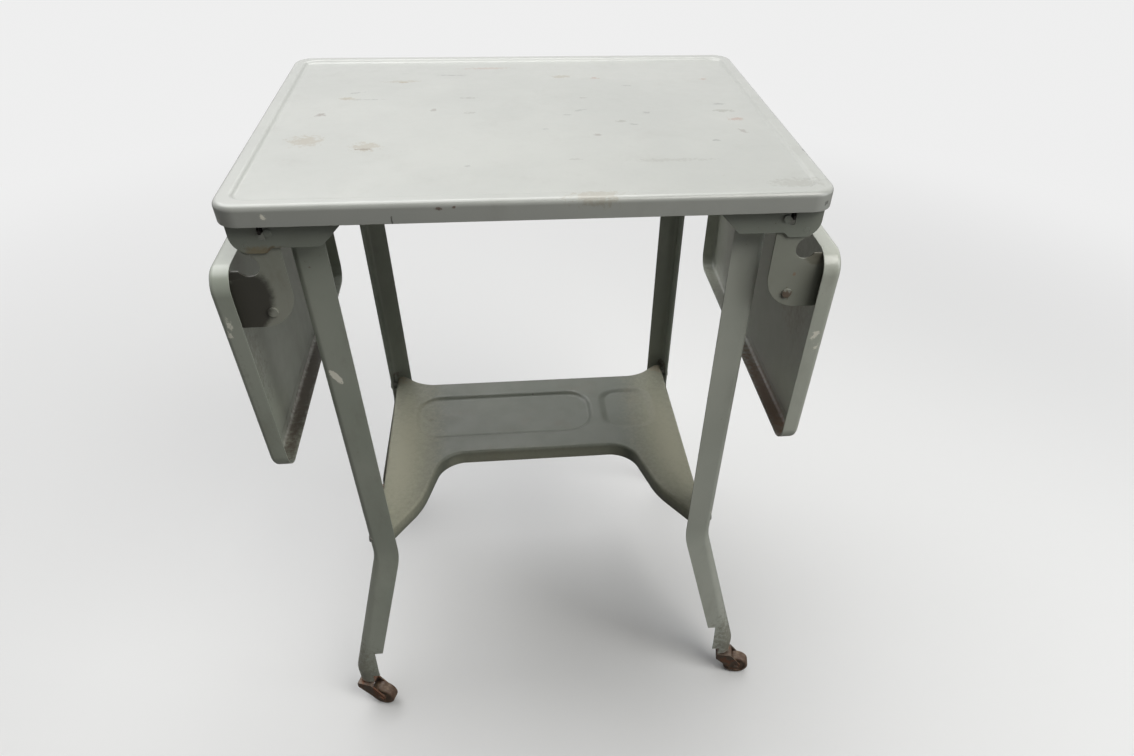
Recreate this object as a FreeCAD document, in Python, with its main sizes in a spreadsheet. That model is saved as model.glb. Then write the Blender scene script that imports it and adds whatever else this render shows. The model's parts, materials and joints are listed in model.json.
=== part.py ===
"""Typewriter table: pressed steel top, two drop leaves, four bent angle legs, a low shelf, four casters.

Frame: origin on the floor under the middle of the top, +X to the right, +Y to the back, +Z up, millimetres.
Every size is a cell of the sheet "Sizes"; sketches, features and placements are bound to those cells.
"""
import FreeCAD, Part
import math
import os
import Sketcher

V = FreeCAD.Vector
document = FreeCAD.newDocument("TypewriterTable")
sheet = document.addObject("Spreadsheet::Sheet", "Sizes")


# ---------------------------------------------------------------- sizes as expressions
class Term:
    """A length as an expression of the sheet's cells, with its present value beside it."""

    def __init__(self, text, value):
        self.text = text
        self.value = float(value)

    def __add__(self, other):
        other = term(other)
        return Term(f"({self.text} + {other.text})", self.value + other.value)

    def __sub__(self, other):
        other = term(other)
        return Term(f"({self.text} - {other.text})", self.value - other.value)

    def __mul__(self, other):
        other = term(other)
        return Term(f"({self.text} * {other.text})", self.value * other.value)

    def __truediv__(self, other):
        other = term(other)
        return Term(f"({self.text} / {other.text})", self.value / other.value)

    def __radd__(self, other):
        return term(other) + self

    def __rsub__(self, other):
        return term(other) - self

    def __rmul__(self, other):
        return term(other) * self

    def __neg__(self):
        return Term(f"(0 - {self.text})", -self.value)


def term(value):
    """A plain number as a Term; a Term stays as it is."""
    return value if isinstance(value, Term) else Term(repr(float(value)), value)


def hypotenuse(across, along):
    """Length of the diagonal of two Terms."""
    squares = across * across + along * along
    return Term(f"sqrt({squares.text})", math.sqrt(squares.value))


next_row = 1


def size(name, value, note):
    """Write one driving dimension into the sheet and return it as a Term."""
    global next_row
    sheet.set(f"A{next_row}", note)
    sheet.set(f"B{next_row}", str(value))
    sheet.setAlias(f"B{next_row}", name)
    next_row += 1
    return Term(f"Sizes.{name}", value)


def bind(item, path, value):
    """Tie a property or constraint to the sheet."""
    item.setExpression(path, term(value).text)


# Overall
height = size("height", 673, "floor to the top surface")
top_width = size("top_width", 470, "top, side to side")
top_depth = size("top_depth", 372, "top, front to back")

# Pressed pans: the top and the leaves
sheet_metal = size("sheet_metal", 1.2, "sheet of top, leaves and shelf")
rim_drop = size("rim_drop", 16, "depth of the folded rim of top and leaves")
rim_fold = size("rim_fold", 4.5, "outside radius of the rim's fold")
pan_corner = size("pan_corner", 19, "corner radius of top and leaves in plan")
border = size("border", 12, "width of the raised border")
border_step = size("border_step", 2, "the field lies this much under the border")
step_slope = size("step_slope", 2.5, "width of the slope from border to field")

# Leaves
leaf_width = size("leaf_width", 205, "leaf, from hinge side to free edge")
leaf_length = size("leaf_length", 370, "leaf, front to back")
leaf_stand_out = size("leaf_stand_out", 18.5, "a hanging leaf's face stands this far outside the top")
leaf_gap = size("leaf_gap", 2, "gap between the top and a raised leaf")
leaf_drop = size("leaf_drop", 54, "top surface down to a hanging leaf's upper edge")

# Gussets, hinge pins, arms
plate = size("plate", 1.5, "steel of gussets and rails")
gusset_inset = size("gusset_inset", 10, "top's front edge back to the gusset's face")
gusset_outer_inset = size("gusset_outer_inset", 5.5, "top's side edge in to the gusset's outer edge")
gusset_span = size("gusset_span", 100.5, "gusset's width along its upper edge")
gusset_drop = size("gusset_drop", 37, "top surface down to the gusset's lower edge")
gusset_flange = size("gusset_flange", 26, "gusset's upper flange, front to back")
gusset_corner = size("gusset_corner", 13.5, "gusset's rounded outer corner")
gusset_chamfer = size("gusset_chamfer", 34, "sloping inner end of the gusset, across")
ear_wall = size("ear_wall", 3.4, "metal left under the hinge pin's hole")
ear_reach = size("ear_reach", 14, "ear's lower edge, inward of the pin")
hinge_pin = size("hinge_pin", 5, "hinge pin's diameter")
pin_head = size("pin_head", 9, "hinge pin's rear head, diameter")
pin_head_thickness = size("pin_head_thickness", 1.6, "hinge pin's rear head, thickness")
running_fit = size("running_fit", 0.05, "radial clearance of a pin that turns")
side_play = size("side_play", 0.4, "free play between moving plates")
arm_plate = size("arm_plate", 2, "steel of arms and catches")
arm_boss = size("arm_boss", 8, "radius of the arm's boss round the hinge pin")
arm_reach = size("arm_reach", 23.6, "hinge pin in to the arm's inner edge")
arm_shoulder = size("arm_shoulder", 21.5, "hinge pin down to the arm's wide part")
arm_length = size("arm_length", 71.5, "hinge pin down to the arm's lower edge")
arm_corner = size("arm_corner", 30, "arm's rounded lower inner corner")
arm_notch = size("arm_notch", 9.2, "radius of the arm's round notch")
arm_bend = size("arm_bend", 10, "inside radius of the arm's bend to its flange")
arm_flange = size("arm_flange", 24, "arm's flange on the leaf, front to back")
arm_rivet = size("arm_rivet", 5, "arm's rivet, shank diameter")
arm_rivet_head = size("arm_rivet_head", 8.5, "arm's rivet, head diameter")
arm_rivet_dome = size("arm_rivet_dome", 1.8, "arm's rivet, head height")
arm_rivet_in = size("arm_rivet_in", 19, "arm's inner edge out to its rivet")
arm_rivet_up = size("arm_rivet_up", 14, "arm's lower edge up to its rivet")

# Catches
catch_rivet_in = size("catch_rivet_in", 18.3, "hinge pin in to the catch's rivet")
catch_rivet_up = size("catch_rivet_up", 10.7, "hinge pin up to the catch's rivet")
catch_rivet = size("catch_rivet", 4, "catch's rivet, shank diameter")
catch_rivet_head = size("catch_rivet_head", 6, "catch's rivet, head diameter")
catch_eye = size("catch_eye", 4, "radius of the catch round its rivet")
catch_bar = size("catch_bar", 4, "height of the catch's bar")
tooth_width = size("tooth_width", 2.4, "catch's tooth, across")
detent_width = size("detent_width", 3.6, "notch in the arm's boss, across")
detent_depth = size("detent_depth", 1.6, "notch in the arm's boss, depth")
tab_out = size("tab_out", 5.2, "catch's rivet out to its thumb tab")
tab_width = size("tab_width", 2, "thumb tab, across")
tab_height = size("tab_height", 3.5, "thumb tab, height")
tab_proud = size("tab_proud", 3, "thumb tab, in front of the gusset")
slot_width = size("slot_width", 4.6, "gusset's slot, across")
slot_height = size("slot_height", 12, "gusset's slot, height")
slot_low = size("slot_low", 4.6, "hinge pin up to the slot's lower end")

# Rails
rail_width = size("rail_width", 24, "rail's upper flange")
rail_depth = size("rail_depth", 25, "rail's upright flange")

# Legs
leg_sheet = size("leg_sheet", 1.6, "steel of the legs")
leg_flange = size("leg_flange", 28, "wide side of the leg's angle")
leg_narrow = size("leg_narrow", 24, "narrow side of the leg's angle")
leg_round = size("leg_round", 6, "outside radius of the leg's corner")
leg_inset_x = size("leg_inset_x", 42, "top's side edge in to the leg's outer face")
leg_inset_y = size("leg_inset_y", 29, "top's front edge back to the leg's outer face")
flare_x = size("flare_x", 50, "foot stands this far outside the upper leg, sideways")
flare_y = size("flare_y", 31, "foot stands this far outside the upper leg, front and back")
knee_height = size("knee_height", 262, "floor to where the leg starts to bend out")
knee_radius = size("knee_radius", 70, "bend at the knee")
ankle_height = size("ankle_height", 63, "floor to the upright end of the leg")
ankle_radius = size("ankle_radius", 40, "bend at the ankle")
foot_height = size("foot_height", 45, "floor to the leg's lower end")
foot_notch = size("foot_notch", 98, "floor to the notch in the leg's sides")
foot_width = size("foot_width", 27, "width of the leg's sides below the notch")
foot_step = size("foot_step", 57, "floor to the step at the foot")
foot_tip = size("foot_tip", 18, "width of the leg's sides at their lower end")

# Shelf
shelf_height = size("shelf_height", 278, "floor to the shelf's surface")
shelf_drop = size("shelf_drop", 18, "depth of the shelf's flanges")
shelf_fold = size("shelf_fold", 3.5, "outside radius of the shelf's folds")
horn_setback = size("horn_setback", 5.5, "leg's inner face back to the shelf's horn")
horn_tip = size("horn_tip", 9, "width of a horn at its tip")
scoop_front_edge = size("scoop_front_edge", -18, "front scoop's straight edge, from the middle")
scoop_front_half = size("scoop_front_half", 117, "front scoop's inner corner, half width")
scoop_flank_half = size("scoop_flank_half", 140, "front scoop's flank, half width")
scoop_flank_edge = size("scoop_flank_edge", -97, "front scoop's flank, from the middle")
scoop_inner_round = size("scoop_inner_round", 35, "front scoop's inner corner radius")
scoop_outer_round = size("scoop_outer_round", 90, "front scoop's outer bend radius")
scoop_back_edge = size("scoop_back_edge", 127.5, "back scoop's straight edge, from the middle")
scoop_back_half = size("scoop_back_half", 149, "back scoop's corner, half width")
scoop_back_round = size("scoop_back_round", 42, "back scoop's corner radius")
recess_depth = size("recess_depth", 3.5, "depth of the shelf's recesses")
recess_slope = size("recess_slope", 5, "width of the recesses' sloping wall")
recess_middle = size("recess_middle", 56, "recesses' middle, from the middle")
recess_span = size("recess_span", 84, "recesses, front to back")
long_recess_left = size("long_recess_left", -156, "long recess, left end")
long_recess_right = size("long_recess_right", 76, "long recess, right end")
short_recess_left = size("short_recess_left", 88, "short recess, left end")
short_recess_right = size("short_recess_right", 160, "short recess, right end")
long_recess_round = size("long_recess_round", 32, "corner radius of the long recess")
short_recess_round = size("short_recess_round", 24, "corner radius of the short recess")
shelf_stand_off = size("shelf_stand_off", 5.5, "leg's inner face to the shelf's side flange")
bolt_below = size("bolt_below", 10, "shelf's surface down to its bolts")
bolt_setback = size("bolt_setback", 14.5, "leg's outer face back to the bolt")
bolt = size("bolt", 5, "shelf bolt's diameter")
bolt_head = size("bolt_head", 9.5, "shelf bolt's head, diameter")
bolt_head_height = size("bolt_head_height", 3, "shelf bolt's head, height")
bolt_hole_play = size("bolt_hole_play", 0.2, "radial play of the bolt in its holes")
nut_width = size("nut_width", 9, "nut, across its corners")
nut_height = size("nut_height", 4, "nut's height")
spacer = size("spacer", 9.5, "spacer between leg and shelf, diameter")

# Casters
socket_outer = size("socket_outer", 12, "caster socket's outside diameter")
socket_gap = size("socket_gap", 0.1, "leg's inner face to the socket")
stem = size("stem", 8, "caster stem's diameter")
stem_end = size("stem_end", 2, "socket's top down to the stem's end")
stem_collar = size("stem_collar", 13, "stem's collar, diameter")
stem_collar_height = size("stem_collar_height", 3, "stem's collar, height")
wheel = size("wheel", 33, "wheel's diameter")
wheel_width = size("wheel_width", 14, "wheel's width")
wheel_crown = size("wheel_crown", 2.5, "rounding of the wheel's edges")
hub = size("hub", 11, "wheel hub's diameter")
hub_recess = size("hub_recess", 1.6, "depth of the ring between hub and tread")
tread = size("tread", 4, "thickness of the wheel's rim")
trail = size("trail", 19, "stem's axis back to the wheel's axle")
fork_sheet = size("fork_sheet", 2, "steel of the fork")
fork_play = size("fork_play", 0.6, "free play beside the wheel")
fork_head = size("fork_head", 9.5, "fork's head round the stem, radius")
fork_eye = size("fork_eye", 5.5, "fork's cheek round the axle, radius")
axle = size("axle", 5, "axle's diameter")
axle_head = size("axle_head", 8, "axle's riveted heads, diameter")
axle_head_height = size("axle_head_height", 1.2, "axle's riveted heads, height")

document.recompute()

# Places worked out from the sizes above
half_width = top_width / 2
half_depth = top_depth / 2
field_under = height - border_step - sheet_metal
leaf_face = half_width + leaf_stand_out
leaf_top = height - leaf_drop
hinge_x = (half_width + leaf_gap + leaf_top - height + leaf_face) / 2
hinge_z = height - leaf_face + hinge_x
gusset_front = half_depth - gusset_inset
arm_front = gusset_front - plate - side_play
leg_x = half_width - leg_inset_x
leg_y = half_depth - leg_inset_y
leg_inner_x = leg_x - leg_sheet
leg_inner_y = leg_y - leg_sheet
leg_top = field_under - plate
socket_radius = socket_outer / 2
socket_top = ankle_height
stem_top = socket_top - stem_end
stem_x = leg_x + flare_x - leg_sheet - socket_gap - socket_radius
stem_y = leg_y + flare_y - leg_sheet - socket_gap - socket_radius
bolt_height = shelf_height - bolt_below
bolt_y = leg_y - bolt_setback


# ---------------------------------------------------------------- sketches and features
def new_body(label):
    """An empty body with its own name."""
    body = document.addObject("PartDesign::Body", "Body_" + label)
    body.Label = label
    return body


def origin_plane(body, role):
    """One of the body's own origin planes: XY, XZ or YZ."""
    return [item for item in body.Origin.OriginFeatures if item.Role == role + "_Plane"][0]


def new_sketch(body, role, name, offset=0):
    """A sketch on an origin plane; offset moves it along the plane's own normal."""
    sketch = body.newObject("Sketcher::SketchObject", f"{body.Label}_{name}")
    sketch.AttachmentSupport = [(origin_plane(body, role), "")]
    sketch.MapMode = "FlatFace"
    bind(sketch, "AttachmentOffset.Base.z", offset)
    return sketch


def place_vertex(sketch, geometry, end, x, y):
    """Hold one end of a geometry at (x, y)."""
    for kind, axis, value in (("DistanceX", -2, term(x)), ("DistanceY", -1, term(y))):
        if value.text == "0.0":
            sketch.addConstraint(Sketcher.Constraint("PointOnObject", geometry, end, axis))
        else:
            number = sketch.addConstraint(Sketcher.Constraint(kind, -1, 1, geometry, end, value.value))
            bind(sketch, f"Constraints[{number}]", value)


def draw_outline(sketch, corners):
    """A closed outline through corners (x, y, radius); a radius of 0 leaves the corner sharp."""
    points = [V(term(x).value, term(y).value, 0) for x, y, radius in corners]
    count = len(points)
    arrive, leave, arcs = [], [], {}
    for i, (x, y, radius) in enumerate(corners):
        point, reach = points[i], term(radius).value
        if reach == 0:
            arrive.append(point)
            leave.append(point)
            continue
        back = (points[i - 1] - point).normalize()
        ahead = (points[(i + 1) % count] - point).normalize()
        half = back.getAngle(ahead) / 2
        start = point + back * (reach / math.tan(half))
        finish = point + ahead * (reach / math.tan(half))
        centre = point + (back + ahead).normalize() * (reach / math.sin(half))
        left_turn = (point - start).cross(finish - point).z > 0
        first, last = (start, finish) if left_turn else (finish, start)
        angles = [math.atan2(p.y - centre.y, p.x - centre.x) for p in (first, last)]
        if angles[1] < angles[0]:
            angles[1] += 2 * math.pi
        arcs[i] = (Part.ArcOfCircle(Part.Circle(centre, V(0, 0, 1), reach), *angles), left_turn)
        arrive.append(start)
        leave.append(finish)
    lines = []
    for i in range(count):
        lines.append(sketch.addGeometry(Part.LineSegment(leave[i], arrive[(i + 1) % count]), False))
    for i, (x, y, radius) in enumerate(corners):
        before, after = lines[i - 1], lines[i]
        if i not in arcs:
            sketch.addConstraint(Sketcher.Constraint("Coincident", before, 2, after, 1))
            place_vertex(sketch, after, 1, x, y)
            continue
        arc, left_turn = arcs[i]
        corner = sketch.addGeometry(Part.Point(points[i]), True)
        place_vertex(sketch, corner, 1, x, y)
        sketch.addConstraint(Sketcher.Constraint("PointOnObject", corner, 1, before))
        sketch.addConstraint(Sketcher.Constraint("PointOnObject", corner, 1, after))
        bend = sketch.addGeometry(arc, False)
        first, last = (1, 2) if left_turn else (2, 1)
        sketch.addConstraint(Sketcher.Constraint("Tangent", before, 2, bend, first))
        sketch.addConstraint(Sketcher.Constraint("Tangent", bend, last, after, 1))
        number = sketch.addConstraint(Sketcher.Constraint("Radius", bend, term(radius).value))
        bind(sketch, f"Constraints[{number}]", radius)


def draw_box(sketch, low, high, radius=0):
    """A rectangle from corner low to corner high."""
    draw_outline(sketch, [(low[0], low[1], radius), (high[0], low[1], radius),
                          (high[0], high[1], radius), (low[0], high[1], radius)])


def draw_circle(sketch, x, y, radius):
    """A circle round (x, y)."""
    centre = V(term(x).value, term(y).value, 0)
    ring = sketch.addGeometry(Part.Circle(centre, V(0, 0, 1), term(radius).value), False)
    place_vertex(sketch, ring, 3, x, y)
    number = sketch.addConstraint(Sketcher.Constraint("Radius", ring, term(radius).value))
    bind(sketch, f"Constraints[{number}]", radius)


def extrude(body, kind, sketch, length, reverse=False, symmetric=False):
    """Pad or Pocket a sketch by a length; a Pocket that removes nothing is an error."""
    before = body.Shape.Volume if body.Tip else 0.0
    feature = body.newObject("PartDesign::" + kind, f"{sketch.Name}_{kind}")
    feature.Profile = sketch
    feature.Reversed = reverse
    if symmetric:
        feature.SideType = "Symmetric"
    if length is None:
        feature.Type = "ThroughAll"
    else:
        bind(feature, "Length", length)
    sketch.Visibility = False
    body.Tip = feature
    document.recompute()
    if kind == "Pocket" and body.Shape.Volume > before - 1e-6:
        raise ValueError(f"{feature.Name} removes nothing")
    return feature


def pad(body, sketch, length, reverse=False, symmetric=False):
    """Add the sketch, drawn out along its normal."""
    return extrude(body, "Pad", sketch, length, reverse, symmetric)


def pocket(body, sketch, length=None, reverse=False, symmetric=False):
    """Cut the sketch out of the body; no length cuts right through."""
    return extrude(body, "Pocket", sketch, length, reverse, symmetric)


def fillet(body, radius, wanted):
    """Round the edges for which wanted(edge) is true."""
    base = body.Tip
    names = [f"Edge{i + 1}" for i, edge in enumerate(base.Shape.Edges) if wanted(edge)]
    feature = body.newObject("PartDesign::Fillet", f"{body.Label}_Fillet{len(body.Group)}")
    feature.Base = (base, names)
    bind(feature, "Radius", radius)
    body.Tip = feature
    document.recompute()
    return feature


def flat_edges(level):
    """A test for edges that lie at one height."""
    height_now = term(level).value

    def lies_flat(edge):
        box = edge.BoundBox
        return abs(box.ZMin - height_now) < 1e-4 and abs(box.ZMax - height_now) < 1e-4
    return lies_flat


def sink(body, name, level, depth, slope, low, high, radius):
    """Press a rounded box down from a level, with walls that slope inward."""
    before = body.Shape.Volume
    rim = new_sketch(body, "XY", name + "_rim", level)
    draw_box(rim, low, high, radius)
    floor = new_sketch(body, "XY", name + "_floor", level - depth)
    draw_box(floor, (low[0] + slope, low[1] + slope), (high[0] - slope, high[1] - slope), radius - slope)
    feature = body.newObject("PartDesign::SubtractiveLoft", f"{body.Label}_{name}")
    feature.Profile = rim
    feature.Sections = [floor]
    feature.Ruled = True
    body.Tip = feature
    document.recompute()
    if body.Shape.Volume > before - 1:
        raise ValueError(f"{feature.Name} removes nothing")
    return feature


def hollow_from_below(body, wall, level):
    """Turn the solid into sheet, open at the flat face that lies at this height."""
    base = body.Tip
    names = []
    for i, face in enumerate(base.Shape.Faces):
        box = face.BoundBox
        if abs(box.ZMin - term(level).value) < 1e-4 and abs(box.ZMax - term(level).value) < 1e-4:
            names.append(f"Face{i + 1}")
    feature = body.newObject("PartDesign::Thickness", f"{body.Label}_Sheet")
    feature.Base = (base, names)
    feature.Mode = "Skin"
    feature.Join = "Arc"
    feature.Reversed = True
    bind(feature, "Value", wall)
    body.Tip = feature
    document.recompute()
    return feature


def place(item, x, y, z, turn=0.0, axis=V(0, 0, 1)):
    """Put a sub-part at (x, y, z), turned about an axis."""
    item.Placement = FreeCAD.Placement(V(0, 0, 0), FreeCAD.Rotation(axis, turn))
    for name, value in zip("xyz", (x, y, z)):
        bind(item, "Placement.Base." + name, value)


def cylinder(name, radius, length):
    """A round bar along +Z."""
    item = document.addObject("Part::Cylinder", name)
    bind(item, "Radius", radius)
    bind(item, "Height", length)
    return item


def fused(name, *pieces):
    """Several primitives as one solid."""
    item = document.addObject("Part::MultiFuse", name)
    item.Shapes = list(pieces)
    return item


def group(label, pieces):
    """Like fasteners as one sub-part of separate solids."""
    item = document.addObject("Part::Compound", "Group_" + label)
    item.Label = label
    item.Links = pieces
    return item


CORNERS = (("front_left", -1, -1), ("front_right", 1, -1), ("rear_left", -1, 1), ("rear_right", 1, 1))
sub_parts = []


def corner_side(across, along):
    """Side of a front piece that, turned half round for the rear, lands at this corner."""
    return across if along < 0 else -across


def half_turn(along):
    """Front pieces stand as drawn; rear ones are turned half round."""
    return 0.0 if along < 0 else 180.0


# ---------------------------------------------------------------- pressed pans: top and leaves
def make_pan(label, across, along):
    """Pressed sheet with a folded rim and a sunk field; its upper face is at z = 0."""
    body = new_body(label)
    outline = new_sketch(body, "XY", "outline", -rim_drop)
    draw_box(outline, (-across / 2, -along / 2), (across / 2, along / 2), pan_corner)
    pad(body, outline, rim_drop)
    fillet(body, rim_fold, flat_edges(0))
    sink(body, "field", 0, border_step, step_slope, (border - across / 2, border - along / 2),
         (across / 2 - border, along / 2 - border), pan_corner - border / 2)
    hollow_from_below(body, sheet_metal, -rim_drop)
    sub_parts.append(body)
    return body


place(make_pan("top_panel", top_width, top_depth), 0, 0, height)
for hand, side in (("left", -1), ("right", 1)):
    leaf = make_pan(f"leaf_{hand}_panel", leaf_width, leaf_length)
    place(leaf, side * leaf_face, 0, leaf_top - leaf_width / 2, 90.0 * side, V(0, 1, 0))


# ---------------------------------------------------------------- gussets and rails under the top
gusset_outer = half_width - gusset_outer_inset
gusset_inner = gusset_outer - gusset_span
gusset_low = height - gusset_drop
ear_low = hinge_z - hinge_pin / 2 - ear_wall
ear_in = hinge_x - ear_reach
catch_x = hinge_x - catch_rivet_in
catch_z = hinge_z + catch_rivet_up
seat_play = size("seat_play", 0.02, "radial play of a pin in the hole that holds it")
edge_round = size("edge_round", 3.5, "small rounded corners of plates")


def make_gusset(label, side):
    """Corner bracket: upright web with the hinge ear and the catch's slot, flange under the top."""
    body = new_body(label)
    web = new_sketch(body, "XZ", "web", gusset_front)
    draw_outline(web, [
        (side * gusset_inner, field_under, 0),
        (side * gusset_outer, field_under, 0),
        (side * gusset_outer, ear_low, gusset_corner),
        (side * ear_in, ear_low, edge_round),
        (side * (ear_in - gusset_low + ear_low), gusset_low, edge_round),
        (side * (gusset_inner + gusset_chamfer), gusset_low, edge_round)])
    pad(body, web, plate, reverse=True)
    flange = new_sketch(body, "XY", "flange", field_under)
    draw_box(flange, (side * gusset_inner, -gusset_front),
             (side * gusset_outer, gusset_flange - gusset_front))
    pad(body, flange, plate, reverse=True)
    openings = new_sketch(body, "XZ", "openings", gusset_front)
    draw_circle(openings, side * hinge_x, hinge_z, hinge_pin / 2 + seat_play)
    draw_circle(openings, side * catch_x, catch_z, catch_rivet / 2 + seat_play)
    slot_x = catch_x + tab_out
    draw_box(openings, (side * (slot_x - slot_width / 2), hinge_z + slot_low),
             (side * (slot_x + slot_width / 2), hinge_z + slot_low + slot_height), slot_width / 4)
    pocket(body, openings, plate * 2)
    at_top, front = flat_edges(field_under), gusset_front.value
    fillet(body, plate / 2, lambda edge: at_top(edge) and abs(edge.BoundBox.YMax + front) < 1e-4)
    sub_parts.append(body)
    return body


rail_half = gusset_front - gusset_flange - seat_play * 10


def make_rail(label, side):
    """Angle under the top between the front and rear gussets, welded to the legs' inner faces."""
    body = new_body(label)
    profile = new_sketch(body, "XZ", "profile", 0)
    top, inner = field_under, leg_inner_x
    draw_outline(profile, [
        (side * inner, top - rail_depth, 0),
        (side * inner, top, plate * 2),
        (side * (inner - rail_width), top, 0),
        (side * (inner - rail_width), top - plate, 0),
        (side * (inner - plate), top - plate, plate),
        (side * (inner - plate), top - rail_depth, 0)])
    pad(body, profile, rail_half * 2, symmetric=True)
    sub_parts.append(body)
    return body


for corner, across, along in CORNERS:
    place(make_gusset("gusset_" + corner, corner_side(across, along)), 0, 0, 0, half_turn(along))
make_rail("rail_left", -1)
make_rail("rail_right", 1)


# ---------------------------------------------------------------- leaf arms, hinge pins, catches
arm_inner = hinge_x - arm_reach
arm_low = hinge_z - arm_length
arm_outer = leaf_face - border_step - sheet_metal
neck_top = hinge_z + size("neck_rise", 1.7, "hinge pin up to the top of the arm's neck")
past = size("past", 5, "cutters run this far past the metal")


def make_arm(label, side):
    """Folded arm: plate with neck, boss and round notch, bent to a flange on the leaf."""
    body = new_body(label)
    strip = new_sketch(body, "XY", "strip", arm_low)
    front, back = -arm_front, arm_plate - arm_front
    draw_outline(strip, [
        (side * arm_inner, front, 0),
        (side * arm_outer, front, arm_bend + arm_plate),
        (side * arm_outer, front + arm_flange, 0),
        (side * (arm_outer - arm_plate), front + arm_flange, 0),
        (side * (arm_outer - arm_plate), back, arm_bend),
        (side * arm_inner, back, 0)])
    pad(body, strip, arm_length + arm_boss)
    shape = new_sketch(body, "XZ", "shape", gusset_front)
    draw_box(shape, (side * (arm_inner - past), arm_low - past),
             (side * (arm_outer + past * 2), hinge_z + arm_boss + past))
    shoulder = hinge_z - arm_shoulder
    draw_outline(shape, [
        (side * arm_inner, neck_top, edge_round),
        (side * arm_inner, arm_low, arm_corner),
        (side * (arm_outer + past), arm_low, 0),
        (side * (arm_outer + past), shoulder, 0),
        (side * hinge_x, shoulder, 0),
        (side * hinge_x, neck_top, 0)])
    pocket(body, shape)
    boss = new_sketch(body, "XZ", "boss", arm_front)
    draw_circle(boss, side * hinge_x, hinge_z, arm_boss)
    pad(body, boss, arm_plate, reverse=True)
    cuts = new_sketch(body, "XZ", "cuts", gusset_front)
    draw_circle(cuts, side * (hinge_x + arm_notch / 2), shoulder + arm_notch / 2, arm_notch)
    draw_circle(cuts, side * hinge_x, hinge_z, hinge_pin / 2 + running_fit)
    draw_circle(cuts, side * (arm_inner + arm_rivet_in), arm_low + arm_rivet_up, arm_rivet / 2 + seat_play)
    half = detent_width / 2
    draw_box(cuts, (side * (hinge_x - half), hinge_z + arm_boss - detent_depth),
             (side * (hinge_x + half), hinge_z + arm_boss + past))
    draw_box(cuts, (side * (hinge_x + arm_boss - detent_depth), hinge_z - half),
             (side * (hinge_x + arm_boss + past), hinge_z + half))
    pocket(body, cuts)
    sub_parts.append(body)
    return body


def make_catch(label, side):
    """Pawl that rides on the arm's boss; its thumb tab stands out through the gusset's slot."""
    body = new_body(label)
    ride = hinge_z + arm_boss + side_play
    bar_low = ride + detent_depth
    tooth_out = hinge_x + tooth_width / 2
    tooth_in = hinge_x - tooth_width / 2
    bar = new_sketch(body, "XZ", "bar", arm_front)
    draw_outline(bar, [
        (side * catch_x, bar_low + catch_bar, 0),
        (side * catch_x, bar_low, 0),
        (side * tooth_in, bar_low, 0),
        (side * tooth_in, ride, 0),
        (side * tooth_out, ride, 0),
        (side * tooth_out, bar_low + catch_bar, catch_bar / 2)])
    pad(body, bar, arm_plate, reverse=True)
    eye = new_sketch(body, "XZ", "eye", arm_front)
    draw_circle(eye, side * catch_x, catch_z, catch_eye)
    pad(body, eye, arm_plate, reverse=True)
    tab = new_sketch(body, "XZ", "tab", gusset_front + tab_proud)
    tab_x = catch_x + tab_out
    tab_low = bar_low + (catch_bar - tab_height) / 2
    draw_box(tab, (side * (tab_x - tab_width / 2), tab_low),
             (side * (tab_x + tab_width / 2), tab_low + tab_height))
    pad(body, tab, gusset_front + tab_proud - arm_front + arm_plate / 2, reverse=True)
    hole = new_sketch(body, "XZ", "hole", gusset_front)
    draw_circle(hole, side * catch_x, catch_z, catch_rivet / 2 + running_fit)
    pocket(body, hole)
    sub_parts.append(body)
    return body


def cross_pin(name, across, along, x, z, shank, reach, front_head, rear_head):
    """A pin along Y behind a front corner's gusset; a head is (diameter, height, y of its outer face)."""
    pieces = []
    start, finish = reach
    spans = [(shank, start, finish)]
    if front_head:
        spans.append((front_head[0], start - front_head[1], start))
    if rear_head:
        spans.append((rear_head[0], finish, finish + rear_head[1]))
    for number, (diameter, near, far) in enumerate(spans):
        piece = cylinder(f"{name}_{number}", diameter / 2, far - near)
        depth = near if along < 0 else -near
        direction = -90.0 if along < 0 else 90.0
        place(piece, across * x, depth, z, direction, V(1, 0, 0))
        pieces.append(piece)
    return fused(name, *pieces)


pins, rivets = [], []
behind_arm = arm_plate - arm_front + side_play
for corner, across, along in CORNERS:
    place(make_catch("catch_" + corner, corner_side(across, along)), 0, 0, 0, half_turn(along))
    pins.append(cross_pin("Pin_" + corner, across, along, hinge_x, hinge_z, hinge_pin,
                          (-gusset_front, behind_arm), None, (pin_head, pin_head_thickness)))
    rivets.append(cross_pin("CatchRivet_" + corner, across, along, catch_x, catch_z, catch_rivet,
                            (-gusset_front, behind_arm), (catch_rivet_head, arm_rivet_dome),
                            (catch_rivet_head, pin_head_thickness)))
sub_parts.append(group("hinge_pins", pins))
sub_parts.append(group("catch_rivets", rivets))
for hand, side in (("left", -1), ("right", 1)):
    arm_rivets = []
    for end, along in (("front", -1), ("rear", 1)):
        arm = make_arm(f"leaf_{hand}_{end}_arm", corner_side(side, along))
        place(arm, 0, 0, 0, half_turn(along))
        arm_rivets.append(cross_pin(f"ArmRivet_{hand}_{end}", side, along, arm_inner + arm_rivet_in,
                                    arm_low + arm_rivet_up, arm_rivet, (-arm_front, arm_plate - arm_front),
                                    (arm_rivet_head, arm_rivet_dome), (arm_rivet_head, arm_rivet_dome)))
    sub_parts.append(group(f"leaf_{hand}_arm_rivets", arm_rivets))


# ---------------------------------------------------------------- legs
flare = hypotenuse(flare_x, flare_y)


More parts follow.
